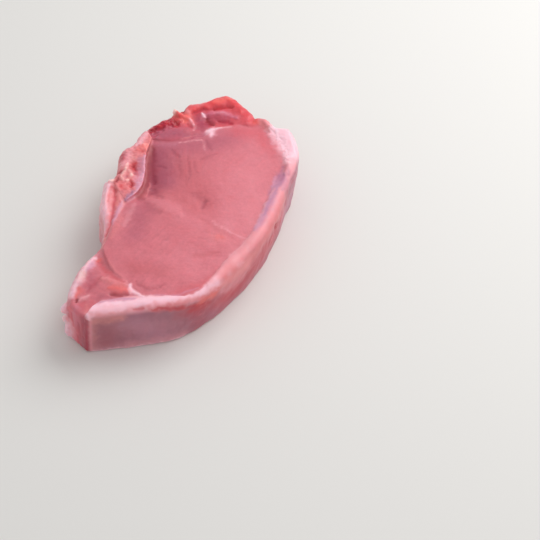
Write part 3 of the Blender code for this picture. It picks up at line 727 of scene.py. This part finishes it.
# the small muscle at the near left end, with its cut end face
tailMuscle = {
    "piece": "tailMeat", "slot": "tail_meat",
    "top": "leanPink", "wall": "endPink", "under": "leanPink",
    "fibre": (1, 1, 6),
    "unevenness": [(5, 0.22), (2.2, 0.06)],
    "patches": [
        mark([(-22.9, -42.5), (-22.9, -48), (-22.8, -52.6), (-22.3, -56.6), (-22.2, -61), (-22, -64.4)],
             2.3, "paleFat", 0.95, face="upper"),
        mark([(-22.2, -53), (-22, -55)], 1.8, "creamFat", 0.6, face="upper"),
        mark([(-23.6, -42, 14), (-25, -52, 12), (-24.6, -62, 14)], 7, "rosyFat", 0.6, face="wall"),
        mark([(-24, -45, 19), (-25.4, -55, 10), (-24, -64, 5)], 2.4, "roseRed", 0.45, face="wall"),
        mark([(-21.4, -46), (-21.2, -50)], 1.3, "lilac", 0.7),
        mark([(-19, -52), (-16.6, -55), (-16.2, -58)], 2.8, "leanViolet", 0.4),
        mark([(-12, -52.4), (-7, -52.6), (-2, -52.2)], 2.4, "salmon", 0.4),
        mark([(-14.3, -67.4), (-11.8, -68.4), (-10.5, -66.6)], 2.4, "roseRed", 0.3),
        mark([(-9, -61.6), (-4, -60.6)], 2, "leanViolet", 0.4),
    ],
    "details": [
        mark([(-21, -41), (-18.8, -43.6), (-13.8, -47.2), (-8.2, -49.6), (-3.4, -50.8)], 1.7, "clearRed",
             0.42, lift=-0.22, ragged=0.2),
        mark([(-20.2, -43.2), (-19.2, -41.4)], 1.1, "orangeRed", 0.6),
        # painted shade in the crease, which is sunk as well
        mark([(-13.9, -52), (-14.8, -57), (-16, -60.7)], 1.5, "crimson", 0.28, lift=-0.45),
        mark([(-13, -52.4), (-8.1, -52.4), (-3.1, -52), (-0.6, -51.8)], 1.9, "salmon", 0.3, lift=0.5),
        mark([(-7, -55.8), (-2.8, -54.6), (0.4, -53.8)], 2.1, "orangeRed", 0.6, lift=0.4, stray=0.5),
        # painted shadow: the dark line under the bundle, which is sunk as well
        mark([(-5.4, -58.8), (-0.8, -57.6), (2, -55.8)], 1, "bloodRed", 0.5, lift=-0.7, stray=0.5),
        mark([(0.2, -50.3), (1.2, -52.2), (3.4, -53.4), (6.4, -54), (9.2, -55)], 0.8, "paleFat", 0.75,
             lift=0.35, spill=True),
        mark([(0.8, -52.6), (2.6, -54.8)], 0.7, "rosyFat", 0.8, lift=0.2, spill=True),
        mark([(-20, -60.2), (-19.2, -62.6), (-19.2, -64.8)], 1.7, "orangeRed", 0.62),
        mark([(-18.2, -66.2), (-17.6, -67.5)], 0.85, "bloodRed", 0.7, lift=-0.8),
        mark([(-16.8, -66.4), (-15.6, -64.8), (-13.9, -62.8)], 1.15, "rosyFat", 0.85, lift=0.45, stray=0.5),
        mark([(-12.6, -67.2), (-11, -69.6), (-10.4, -71.4)], 1.3, "salmon", 0.45, lift=0.2),
        mark([(-16, -69.6, 24.2), (-15.5, -72.2, 20), (-16.9, -72.5, 13)], 2.4, "marrowPink", 0.5),
        mark([(-11.8, -73.6, 22), (-11.6, -74.6, 16), (-12, -75.2, 8), (-12.4, -75.6, 1)], 2.4, "endRed",
             0.8, stray=0.5, taper=0.1),
        mark([(-14.4, -72.8, 17), (-14.6, -73.8, 10), (-15, -74, 3)], 1.9, "endRed", 0.6, lift=-0.2,
             stray=0.5),
        mark([(-18.6, -71.4, 20), (-18.8, -72.4, 13), (-18.2, -73, 6)], 1.1, "crimson", 0.22, lift=-0.35,
             stray=0.5),
        mark([(-20.9, -69.4, 20.6), (-20.8, -70.3, 14.9)], 1.9, "clearRed", 0.5),
        mark([(-24.6, -68.4, 18.4), (-25.8, -68.8, 15)], 2.6, "paleFat", 1, taper=0, spill=True),
        mark([(-24.8, -69.6, 11.4), (-25.6, -69.8, 9.4)], 2.1, "paleFat", 0.9, taper=0, spill=True),
        mark([(-22.6, -72.2, 1.2), (-23.4, -71.8, 4.2), (-23, -71.4, 8.4)], 3, "paleFat", 0.75, taper=0,
             spill=True),
        mark([(-24.4, -45, 22.4), (-25, -52, 22.4), (-24.6, -60, 22.4), (-23.6, -65.4, 22.8)], 2.4,
             "paleFat", 0.75, face="wall"),
        mark([(-25.4, -68.8, 15.4), (-25.2, -69.6, 10.4)], 2.2, "creamFat", 0.5, taper=0, spill=True),
        mark([(-18.8, -72.3, 5), (-19.8, -71.7, 8.6), (-20.8, -71, 12.3)], 1.9, "rosyFat", 0.75, taper=0.2),
    ],
}

# painted light and shade on the ripples: their crests are coloured lighter and their troughs darker, on top
# of the shading that their relief casts
crestPaintedLight = 0.9        # how much lighter a ripple is for each mm of height

tissues = {
    "eye_muscle": eyeMuscle, "fat_rim": fatRim, "cap_muscle": capMuscle, "vertebra_bone": vertebraBone,
    "feather_bone": featherBone, "rib_strip": ribStrip, "tail_muscle": tailMuscle,
}


def turned(spots, degrees):
    angle = math.radians(degrees)
    across = spots[:, 0] * math.cos(angle) - spots[:, 1] * math.sin(angle)
    along = spots[:, 0] * math.sin(angle) + spots[:, 1] * math.cos(angle)
    return np.stack([across, along, spots[:, 2]], 1)


def reach(detail, share):
    # how strongly a detail is felt at each place: 1 on its line, falling to 0 outside its width
    line = detail["at"]
    spots = places if len(line[0]) == 3 else flat
    stray = min(detail["width"] * markHabit["stray"], markHabit["mostStray"]) * detail.get("stray", 1)
    strayed = spots + wander[:, :len(line[0])] * stray
    gap, along = pathGap(strayed, line)
    width = detail["width"]
    if len(line) > 1:
        width = width * (1 - detail.get("taper", markHabit["taper"]) * (2 * along - 1) ** 2)
    within = np.exp(-(gap / width) ** 2) * faces[detail.get("face", "top")]
    within = within * (1 - detail.get("ragged", 0) * grit)
    return within if detail.get("spill") else within * share


def ripple(band, share):
    # waves where the cut ends of the fibres lie over, in mm of height: size across them, long times
    # as long, and turned by so many degrees
    gap = pathGap(places if len(band["at"][0]) == 3 else flat, band["at"])[0]
    felt = share * np.exp(-(gap / band["width"]) ** 2) * faces[band.get("face", "all")]
    here = felt > 0.05
    waves = np.zeros(len(places))
    spots = turned(places[here] + wander[here] * 0.5, -band["turned"])
    waves[here] = lumps(spots, band["size"], 3.0, (band["long"], 1, 6)) * felt[here]
    return waves * band["height"]


def sponge(tissue, spots):
    # 1 inside the pores of a sawn bone, 0 on the thin walls between them
    size = tissue["cells"]["size"]
    near = [noise.voronoi(spot)[0][:2] for spot in (spots / size / np.array((1, 1, 1.6))).tolist()]
    near = np.array(near)
    return ramp(near[:, 1] - near[:, 0], 0.05, 0.6)


def layDown(tissue, share):
    # one tissue's relief in mm and its colour, over the places where it has a share
    here = share > 0.005
    spots = turned(places[here], tissue.get("turned", 0))
    relief = np.zeros(len(places))
    colour = sum(faces[face][:, None] * linear(hue[tissue[face]]) for face in ("top", "wall", "under"))
    for size, height in tissue["unevenness"]:
        relief[here] += lumps(spots, size, size, tissue["fibre"]) * height * share[here]
    for band in tissue.get("ripples", []):
        waves = ripple(band, share)
        relief += waves
        # painted light and shade: the colour follows the ripple's height
        colour = colour * (1 + crestPaintedLight * waves)[:, None]
    if "cells" in tissue:
        cells = tissue["cells"]
        pores = np.zeros(len(places))
        pores[here] = sponge(tissue, places[here]) * share[here]
        relief -= cells["depth"] * pores
        stain = (pores * cells["strength"])[:, None]
        colour = colour + stain * (linear(hue[cells["colour"]]) - colour)
    through = [{"face": "through", "taper": 0} | patch for patch in tissue["patches"]]
    for detail in through + tissue["details"]:
        felt = reach(detail, share)
        relief += detail.get("lift", 0.0) * felt
        if detail["colour"]:
            strength = felt if detail.get("spill") else reach(dict(detail, spill=True), 1)
            strength = (detail["strength"] * strength)[:, None]
            colour = colour + strength * (linear(hue[detail["colour"]]) - colour)
    return relief, colour


def modelSkin():
    outwards = np.zeros(len(places))
    tint = np.zeros((len(places), 3))
    sunk = skinShape["wallGroove"] + (1 - skinShape["wallGroove"]) * faces["top"]
    for first, second, depth, width in seamGrooves:
        apart = np.maximum(gaps[first] + gaps[second] - skinShape["seamGap"], 0)
        outwards -= depth * np.exp(-(apart / width) ** 2) * sunk
    for name, tissue in tissues.items():
        relief, colour = layDown(tissue, shares[name])
        outwards += relief
        tint += colour * shares[name][:, None]
    # stains, painted shade and painted light that spill over a seam are laid on once more, on top of
    # everything
    for tissue in tissues.values():
        for detail in tissue["details"]:
            if detail["colour"] and detail.get("spill"):
                strength = (detail["strength"] * reach(detail, 1))[:, None]
                tint += strength * (linear(hue[detail["colour"]]) - tint)
    # nothing stands out of the solids' own box
    low, high = np.array(cadBox[0]) / mm + 0.02, np.array(cadBox[1]) / mm - 0.02
    return np.clip(places + normals * outwards[:, None], low, high), np.clip(tint, 0, 1)


shaped, tint = modelSkin()
print("relief and colours laid on")

# the skin cut along the seams into one closed piece for each tissue; lengths are in mm
seamCut = {
    "wallStep": 2.4,       # between the points inside a seam wall
    "hairline": 0.15,      # that a seam wall stands back from the seam
    "top": 20.0,           # heights between which a seam's ends run down the outside
    "foot": 6.0,
    "slide": 0.45,         # a corner slides at most this share of a voxel onto its seam
    "straySize": 0.2,      # parts up to this share of a tissue's largest part are strays
    "attempts": 8,
    "ringRows": 12,        # points down the opening of a seam that runs all round
}


def neighbourFaces(quads):
    # the face across each edge of each face
    count = int(quads.max()) + 1
    start, end = quads, np.roll(quads, -1, 1)
    ahead, back = (start * count + end).ravel(), (end * count + start).ravel()
    order = np.argsort(ahead)
    return (order[np.searchsorted(ahead[order], back)] // 4).reshape(-1, 4)


def keepMain(labels, across):
    # stray faces of a tissue away from its main parts go to the tissue around them
    for label in range(len(tissues)):
        members = np.flatnonzero(labels == label)
        groups, seen = [], set()
        for first in members.tolist():
            if first in seen:
                continue
            group, waiting = [first], [first]
            seen.add(first)
            while waiting:
                for other in across[waiting.pop()].tolist():
                    if labels[other] == label and other not in seen:
                        seen.add(other)
                        group.append(other)
                        waiting.append(other)
            groups.append(group)
        largest = max(len(group) for group in groups)
        for group in groups:
            if len(group) > largest * seamCut["straySize"]:
                continue
            around = labels[across[group]].ravel()
            labels[group] = np.bincount(around[around != label]).argmax()


def openPinches(labels, quads, across):
    # where a tissue touches itself at one corner only, the faces round that corner are given away
    nearest = np.argmin(np.stack([gaps[name] for name in tissues]), 0)
    for attempt in range(seamCut["attempts"]):
        edgeOfTissue = labels[across] != labels[:, None]
        leaving = labels[:, None] * len(places) + quads
        keys, counts = np.unique(leaving[edgeOfTissue], return_counts=True)
        pinched = np.unique(keys[counts > 1] % len(places))
        if not len(pinched):
            break
        for corner in pinched:
            labels[(quads == corner).any(1)] = nearest[corner]
        keepMain(labels, across)


def borderLoops(quads, across, labels, label):
    # the closed lines of corners round one tissue, the shortest first
    inside = labels == label
    leaving = (labels[across] != label) & inside[:, None]
    following = dict(zip(quads[leaving].tolist(), np.roll(quads, -1, 1)[leaving].tolist()))
    loops = []
    while following:
        corner = next(iter(following))
        loop = []
        while corner in following:
            loop.append(corner)
            corner = following.pop(corner)
        loops.append(loop)
    return sorted(loops, key=len)


def alongCurve(points):
    # how far along a line each of its points is, as a share, and the line's length
    steps = np.linalg.norm(np.diff(points, axis=0), axis=1)
    travelled = np.r_[0, np.cumsum(steps)]
    return travelled / travelled[-1], travelled[-1]


def onCurve(points, shares, share):
    # the places that lie a given share of the way along a line
    return np.stack([np.interp(share, shares, points[:, axis]) for axis in range(3)], -1)


def ringSides(corners, loops, firstNew):
    # a seam that runs all round is opened along a column of new points down the inside
    upper, lower = sorted(loops, key=lambda loop: -corners[loop][:, 2].mean())
    start = int(np.argmin(corners[upper][:, 1]))
    upper = upper[start:] + upper[:start + 1]
    foot = int(np.argmin(np.linalg.norm((corners[lower] - corners[upper[0]])[:, :2], axis=1)))
    lower = lower[foot:] + lower[:foot + 1]
    column = np.linspace(corners[upper[0]], corners[lower[0]], seamCut["ringRows"])[1:-1]
    extra = list(range(firstNew, firstNew + len(column)))
    down = [upper[-1]] + extra + [lower[0]]
    up = [lower[-1]] + extra[::-1] + [upper[0]]
    return (upper, down, lower, up), column


def stripSides(corners, loop):
    # other seams have two ends on the outside: the longest run above the top height is the upper side
    high = corners[loop][:, 2] > seamCut["top"]
    start = max((i for i in range(len(loop)) if high[i] and not high[i - 1]),
                key=lambda i: next(k for k in range(1, len(loop)) if not high[(i + k) % len(loop)]))
    loop = loop[start:] + loop[:start]
    heights = corners[loop][:, 2]
    topEnd = next(k for k in range(1, len(loop)) if heights[k] < seamCut["top"]) - 1
    footStart = next(k for k in range(topEnd, len(loop)) if heights[k] < seamCut["foot"])
    footEnd = max(k for k in range(len(loop)) if heights[k] < seamCut["foot"])
    upper, down = loop[:topEnd + 1], loop[topEnd:footStart + 1]
    lower, up = loop[footStart:footEnd + 1], loop[footEnd:] + loop[:1]
    return (upper, down, lower, up), np.empty((0, 3))


def seamWall(corners, loops, firstNew):
    # a hidden wall inside a seam: its faces, and the new points that they need
    if len(loops) == 2:
        (upper, down, lower, up), column = ringSides(corners, loops, firstNew)
    else:
        (upper, down, lower, up), column = stripSides(corners, loops[-1])
    known = np.vstack([corners, column])
    sides = [known[side] for side in (upper, down, lower, up)]
    travel = [alongCurve(side) for side in sides]
    # the wall rolled out flat, with its border first and rows of new points inside it
    length = (travel[0][1] + travel[2][1]) / 2
    height = (travel[1][1] + travel[3][1]) / 2
    plan = [(s * length, height) for s in travel[0][0][:-1]]
    plan += [(length, (1 - s) * height) for s in travel[1][0][:-1]]
    plan += [((1 - s) * length, 0.0) for s in travel[2][0][:-1]]
    plan += [(0.0, s * height) for s in travel[3][0][:-1]]
    names = upper[:-1] + down[:-1] + lower[:-1] + up[:-1]
    columns, rows = (max(2, round(way / seamCut["wallStep"])) for way in (length, height))
    inner = [(length * (c + 0.5 + 0.25 * (r % 2)) / (columns + 0.5), height * r / rows)
             for r in range(1, rows) for c in range(columns)]
    border = [(k, (k + 1) % len(plan)) for k in range(len(plan))]
    found = delaunay_2d_cdt([Vector(point) for point in plan + inner], border, [], 1, 1e-7)
    # each new point hangs between the four sides, a hairline further in
    grid = np.array(inner) / (length, height)
    across, upward = grid[:, 0], grid[:, 1]
    above = onCurve(sides[0], travel[0][0], across)
    below = onCurve(sides[2], travel[2][0], 1 - across)
    right = onCurve(sides[1], travel[1][0], 1 - upward)
    left = onCurve(sides[3], travel[3][0], upward)
    s, t = across[:, None], upward[:, None]
    flatPart = (t * ((1 - s) * sides[0][0] + s * sides[0][-1])
                + (1 - t) * ((1 - s) * sides[2][-1] + s * sides[2][0]))
    points = t * above + (1 - t) * below + s * right + (1 - s) * left - flatPart
    ahead = (onCurve(sides[0], travel[0][0], np.minimum(across + 0.01, 1))
             - onCurve(sides[0], travel[0][0], np.maximum(across - 0.01, 0)))
    inwards = np.stack([-ahead[:, 1], ahead[:, 0]], 1)
    inwards /= np.maximum(np.linalg.norm(inwards, axis=1), 1e-9)[:, None]
    points[:, :2] += inwards * seamCut["hairline"]
    firstInner = firstNew + len(column)
    names = names + list(range(firstInner, firstInner + len(inner)))
    owner = [names[group[0]] for group in found[3]]
    triangles = [[owner[k] for k in face] for face in found[2]]
    triangles = [face for face in triangles if len(set(face)) == 3]
    return triangles, np.vstack([column, points])


def splitCorners(quads, walls):
    # a quad whose two opposite corners are joined by a wall too is cut along its other diagonal
    joined = {frozenset((wall[k], wall[k - 1])) for wall in walls for k in range(3)}
    faceList = []
    for a, b, c, d in quads:
        if frozenset((a, c)) in joined:
            faceList += [(a, b, d), (b, c, d)]
        elif frozenset((b, d)) in joined:
            faceList += [(a, b, c), (a, c, d)]
        else:
            faceList.append((a, b, c, d))
    return faceList


def slideSeams(quads, across, labels):
    # corners on a seam slide onto the middle of the gap between the two solids
    order = list(tissues)
    pairs = {}
    for face, edge in np.argwhere(labels[across] != labels[:, None]).tolist():
        pair = {int(labels[face]), int(labels[across[face, edge]])}
        for corner in (int(quads[face, edge]), int(quads[face, (edge + 1) % 4])):
            pairs.setdefault(corner, set()).update(pair)
    limit = skinShape["voxel"] * seamCut["slide"]
    for corner, pair in pairs.items():
        if len(pair) == 2:
            place = Vector(places[corner])
            middle = sum((trees[order[index]].find_nearest(place)[0] for index in pair), Vector()) / 2
            slide = middle - place
            normal = Vector(normals[corner])
            slide -= normal * slide.dot(normal)
            if slide.length > limit:
                slide *= limit / slide.length
            shaped[corner] += slide


def closedPiece(tissue, members, loops):
    # one tissue's part of the skin, shut with its seam wall, with its colours and depths
    used = np.unique(members)
    renumber = np.full(len(places), -1)
    renumber[used] = np.arange(len(used))
    loops = [[int(renumber[corner]) for corner in loop] for loop in loops]
    walls, extra = seamWall(shaped[used], loops, len(used))
    mesh = bpy.data.meshes.new(tissue["piece"])
    allPlaces = np.vstack([shaped[used], extra]) * mm
    outside = splitCorners(renumber[members].tolist(), walls)
    mesh.from_pydata(allPlaces.tolist(), [], outside + walls)
    inside = linear(hue[tissue["under"]])
    colours = np.vstack([tint[used], np.tile(inside, (len(extra), 1))])
    attribute = mesh.color_attributes.new("tint", "FLOAT_COLOR", "POINT")
    attribute.data.foreach_set("color", np.c_[colours, np.ones(len(colours))].ravel())
    others = np.sort(np.stack([gaps[other][used] for other in gaps]), 0)[1]
    deep = ramp(others, skinShape["seamGap"], skinShape["seamSoftness"])
    depth = np.r_[deep, np.zeros(len(extra))]
    mesh.attributes.new("depth", "FLOAT", "POINT").data.foreach_set("value", depth)
    mesh.shade_smooth()
    piece = bpy.data.objects.new(tissue["piece"], mesh)
    bpy.context.scene.collection.objects.link(piece)
    selectOnly(piece)
    bpy.ops.object.mode_set(mode="EDIT")
    bpy.ops.mesh.select_all(action="SELECT")
    bpy.ops.mesh.normals_make_consistent(inside=False)
    bpy.ops.object.mode_set(mode="OBJECT")
    # three times the volume, negative if the faces have all come out pointing inwards
    if sum(face.center.dot(face.normal) * face.area for face in mesh.polygons) < 0:
        mesh.flip_normals()
    onSeam = np.zeros(len(allPlaces), bool)
    for loop in loops:
        onSeam[loop] = True
    for edge in mesh.edges:
        edge.use_edge_sharp = bool(onSeam[edge.vertices[0]] and onSeam[edge.vertices[1]])
    return piece


def cutPieces():
    # each face of the skin goes to the nearest solid, and each tissue's faces become its piece
    loopVerts = np.empty(len(skin.data.loops), int)
    skin.data.loops.foreach_get("vertex_index", loopVerts)
    quads = loopVerts.reshape(-1, 4)
    across = neighbourFaces(quads)
    labels = np.argmin(np.stack([gaps[name][quads].mean(1) for name in tissues]), 0)
    keepMain(labels, across)
    openPinches(labels, quads, across)
    slideSeams(quads, across, labels)
    made = {}
    for label, (name, tissue) in enumerate(tissues.items()):
        members = quads[labels == label]
        made[name] = closedPiece(tissue, members, borderLoops(quads, across, labels, label))
        print("cut", tissue["piece"] + ":", len(members), "faces")
    bpy.data.objects.remove(skin)
    return made


pieces = cutPieces()
print("pieces cut along the seams")


# materials

def addNode(tree, kind, settings=None, links=None):
    node = tree.nodes.new(kind)
    for key, value in (settings or {}).items():
        if isinstance(key, int) or key in node.inputs:
            node.inputs[key].default_value = value
        else:
            setattr(node, key, value)
    for key, source in (links or {}).items():
        tree.links.new(source, node.inputs[key])
    return node


# grain and bump are in mm, soft is how far light goes in, in mm; real fibres are about 0.1 mm wide
# and too fine to show, so every grain is drawn at the width of a bundle of them or coarser
finishes = {
    # raw lean veal, sliced across its fibres with a knife: their cut ends make it fine-grained, moist
    # and only half glossy
    "eye_muscle": dict(name="vealLean", grain=0.9, shade=0.05, bump=0.035, rough=(0.36, 0.50), soft=1.0),
    # soft raw fat, sliced above and with the skin's side on the wall: smooth and waxy, with no grain
    # to speak of, and light goes well into it
    "fat_rim": dict(name="rimFat", grain=2.2, shade=0.02, bump=0.012, rough=(0.34, 0.46), soft=1.6),
    # loose lean meat, pulled and folded more than cut: uneven, wetter and glossier than the eye
    "cap_muscle": dict(name="capMeat", grain=1.4, shade=0.06, bump=0.06, rough=(0.26, 0.40), soft=1.0),
    # young bone, sawn across and wet: a dull, pitted face with a thin film on it
    "vertebra_bone": dict(name="sawnBone", grain=1.7, shade=0.08, bump=0.06, rough=(0.30, 0.45), soft=0.9),
    # spongy bone sawn through its marrow: the open pores are full of blood, dark and very glossy
    "feather_bone": dict(name="redMarrow", grain=1.2, shade=0.12, bump=0.14, rough=(0.18, 0.36), soft=0.7),
    # membrane and fat stretched over the cut edge: long folds under a wet film
    "rib_strip": dict(name="sinew", grain=1.5, shade=0.05, bump=0.05, rough=(0.26, 0.40), soft=1.2),
    # lean meat with coarser fibres, cut across and at its end: moist, with a rougher grain
    "tail_muscle": dict(name="tailMeat", grain=1.2, shade=0.05, bump=0.05, rough=(0.28, 0.42), soft=1.0),
}

# what all the tissues share: they are mostly water, and red light goes deepest into them
moisture = {
    "ior": 1.38,
    "fibreHeight": 0.6,
    "softness": 0.7,
    "redGreenBlue": (1.0, 0.4, 0.35),
}


def moistTissue(finish, tissue):
    material = bpy.data.materials.new(finish["name"])
    material.use_nodes = True
    tree = material.node_tree
    shader = tree.nodes["Principled BSDF"]
    place = addNode(tree, "ShaderNodeTexCoord")
    stretch = [1 / part for part in tissue["fibre"]]
    mapping = addNode(tree, "ShaderNodeMapping",
                      {"Rotation": (0, 0, math.radians(tissue.get("turned", 0))), "Scale": stretch},
                      {"Vector": place.outputs["Object"]})
    tintNode = addNode(tree, "ShaderNodeVertexColor", {"layer_name": "tint"})
    depthNode = addNode(tree, "ShaderNodeAttribute", {"attribute_name": "depth"})
    fibres = addNode(tree, "ShaderNodeTexVoronoi",
                     {"feature": "SMOOTH_F1", "Scale": 1 / (finish["grain"] * mm), "Smoothness": 0.8},
                     {"Vector": mapping.outputs[0]})
    cloud = addNode(tree, "ShaderNodeTexNoise",
                    {"Scale": 1 / (finish["grain"] * 2.2 * mm), "Detail": 4.0, "Roughness": 0.6},
                    {"Vector": mapping.outputs[0]})
    height = addNode(tree, "ShaderNodeMath", {"operation": "MULTIPLY_ADD", 1: moisture["fibreHeight"]},
                     {0: fibres.outputs["Distance"], 2: cloud.outputs["Fac"]})
    shade = addNode(tree, "ShaderNodeMapRange",
                    {"From Min": 0.4, "From Max": 1.1, "To Min": 1 - finish["shade"],
                     "To Max": 1 + finish["shade"]}, {"Value": height.outputs[0]})
    colour = addNode(tree, "ShaderNodeVectorMath", {"operation": "SCALE"},
                     {0: tintNode.outputs["Color"], "Scale": shade.outputs[0]})
    rough = addNode(tree, "ShaderNodeMapRange",
                    {"From Min": 0.3, "From Max": 0.7, "To Min": finish["rough"][0],
                     "To Max": finish["rough"][1]}, {"Value": cloud.outputs["Fac"]})
    bump = addNode(tree, "ShaderNodeBump", {"Strength": 1.0, "Distance": finish["bump"] * mm},
                   {"Height": height.outputs[0]})
    # less light goes in beside a seam, where it would come out again through the cut
    softness = addNode(tree, "ShaderNodeMath", {"operation": "MULTIPLY", 1: moisture["softness"]},
                       {0: depthNode.outputs["Fac"]})
    tree.links.new(colour.outputs[0], shader.inputs["Base Color"])
    tree.links.new(rough.outputs[0], shader.inputs["Roughness"])
    tree.links.new(bump.outputs[0], shader.inputs["Normal"])
    tree.links.new(softness.outputs[0], shader.inputs["Subsurface Weight"])
    shader.inputs["Subsurface Radius"].default_value = moisture["redGreenBlue"]
    shader.inputs["Subsurface Scale"].default_value = finish["soft"] * mm
    shader.inputs["IOR"].default_value = moisture["ior"]
    return material


for name, piece in pieces.items():
    piece.data.materials.append(moistTissue(finishes[name], tissues[name]))
    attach(piece, "root")
    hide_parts(name)
print("materials made")

# floor, lights and camera

studio = {
    "floorSize": 3.0,
    "floorColour": "#DFDDDA",
    "floorRough": 0.85,
    "keyPower": 3.5,
    "keyPlace": (0.27, 0.42, 0.52),
    "keySize": 0.55,
    "skyStrength": 0.635,
}

# the camera: its place in metres, how far it is tipped up and turned, and its lens in mm
view = {
    "place": (0.20965, -0.36766, 0.50463),
    "tilt": 38.7,
    "turn": 24,
    "lens": 91.07,
    "sensor": 36,
}

bpy.ops.mesh.primitive_plane_add(size=studio["floorSize"], location=(0, 0, 0))
floor = bpy.context.active_object
floor.name = "floor"
floorMaterial = bpy.data.materials.new("matteFloor")
floorMaterial.use_nodes = True
floorShader = floorMaterial.node_tree.nodes["Principled BSDF"]
floorShader.inputs["Base Color"].default_value = (*linear(studio["floorColour"]), 1)
floorShader.inputs["Roughness"].default_value = studio["floorRough"]
floor.data.materials.append(floorMaterial)

bpy.ops.object.light_add(type="AREA", location=studio["keyPlace"])
key = bpy.context.active_object
key.data.energy = studio["keyPower"]
key.data.size = studio["keySize"]
key.rotation_euler = (-Vector(studio["keyPlace"])).to_track_quat("-Z", "Y").to_euler()

world = bpy.data.worlds.new("studio")
world.use_nodes = True
world.node_tree.nodes["Background"].inputs["Color"].default_value = (1, 1, 1, 1)
world.node_tree.nodes["Background"].inputs["Strength"].default_value = studio["skyStrength"]
bpy.context.scene.world = world
bpy.context.scene.view_settings.view_transform = "Standard"

bpy.ops.object.camera_add(location=view["place"],
                          rotation=(math.radians(view["tilt"]), 0, math.radians(view["turn"])))
camera = bpy.context.active_object
camera.data.lens = view["lens"]
camera.data.sensor_width = view["sensor"]
bpy.context.scene.camera = camera
print("floor, lights and camera set")
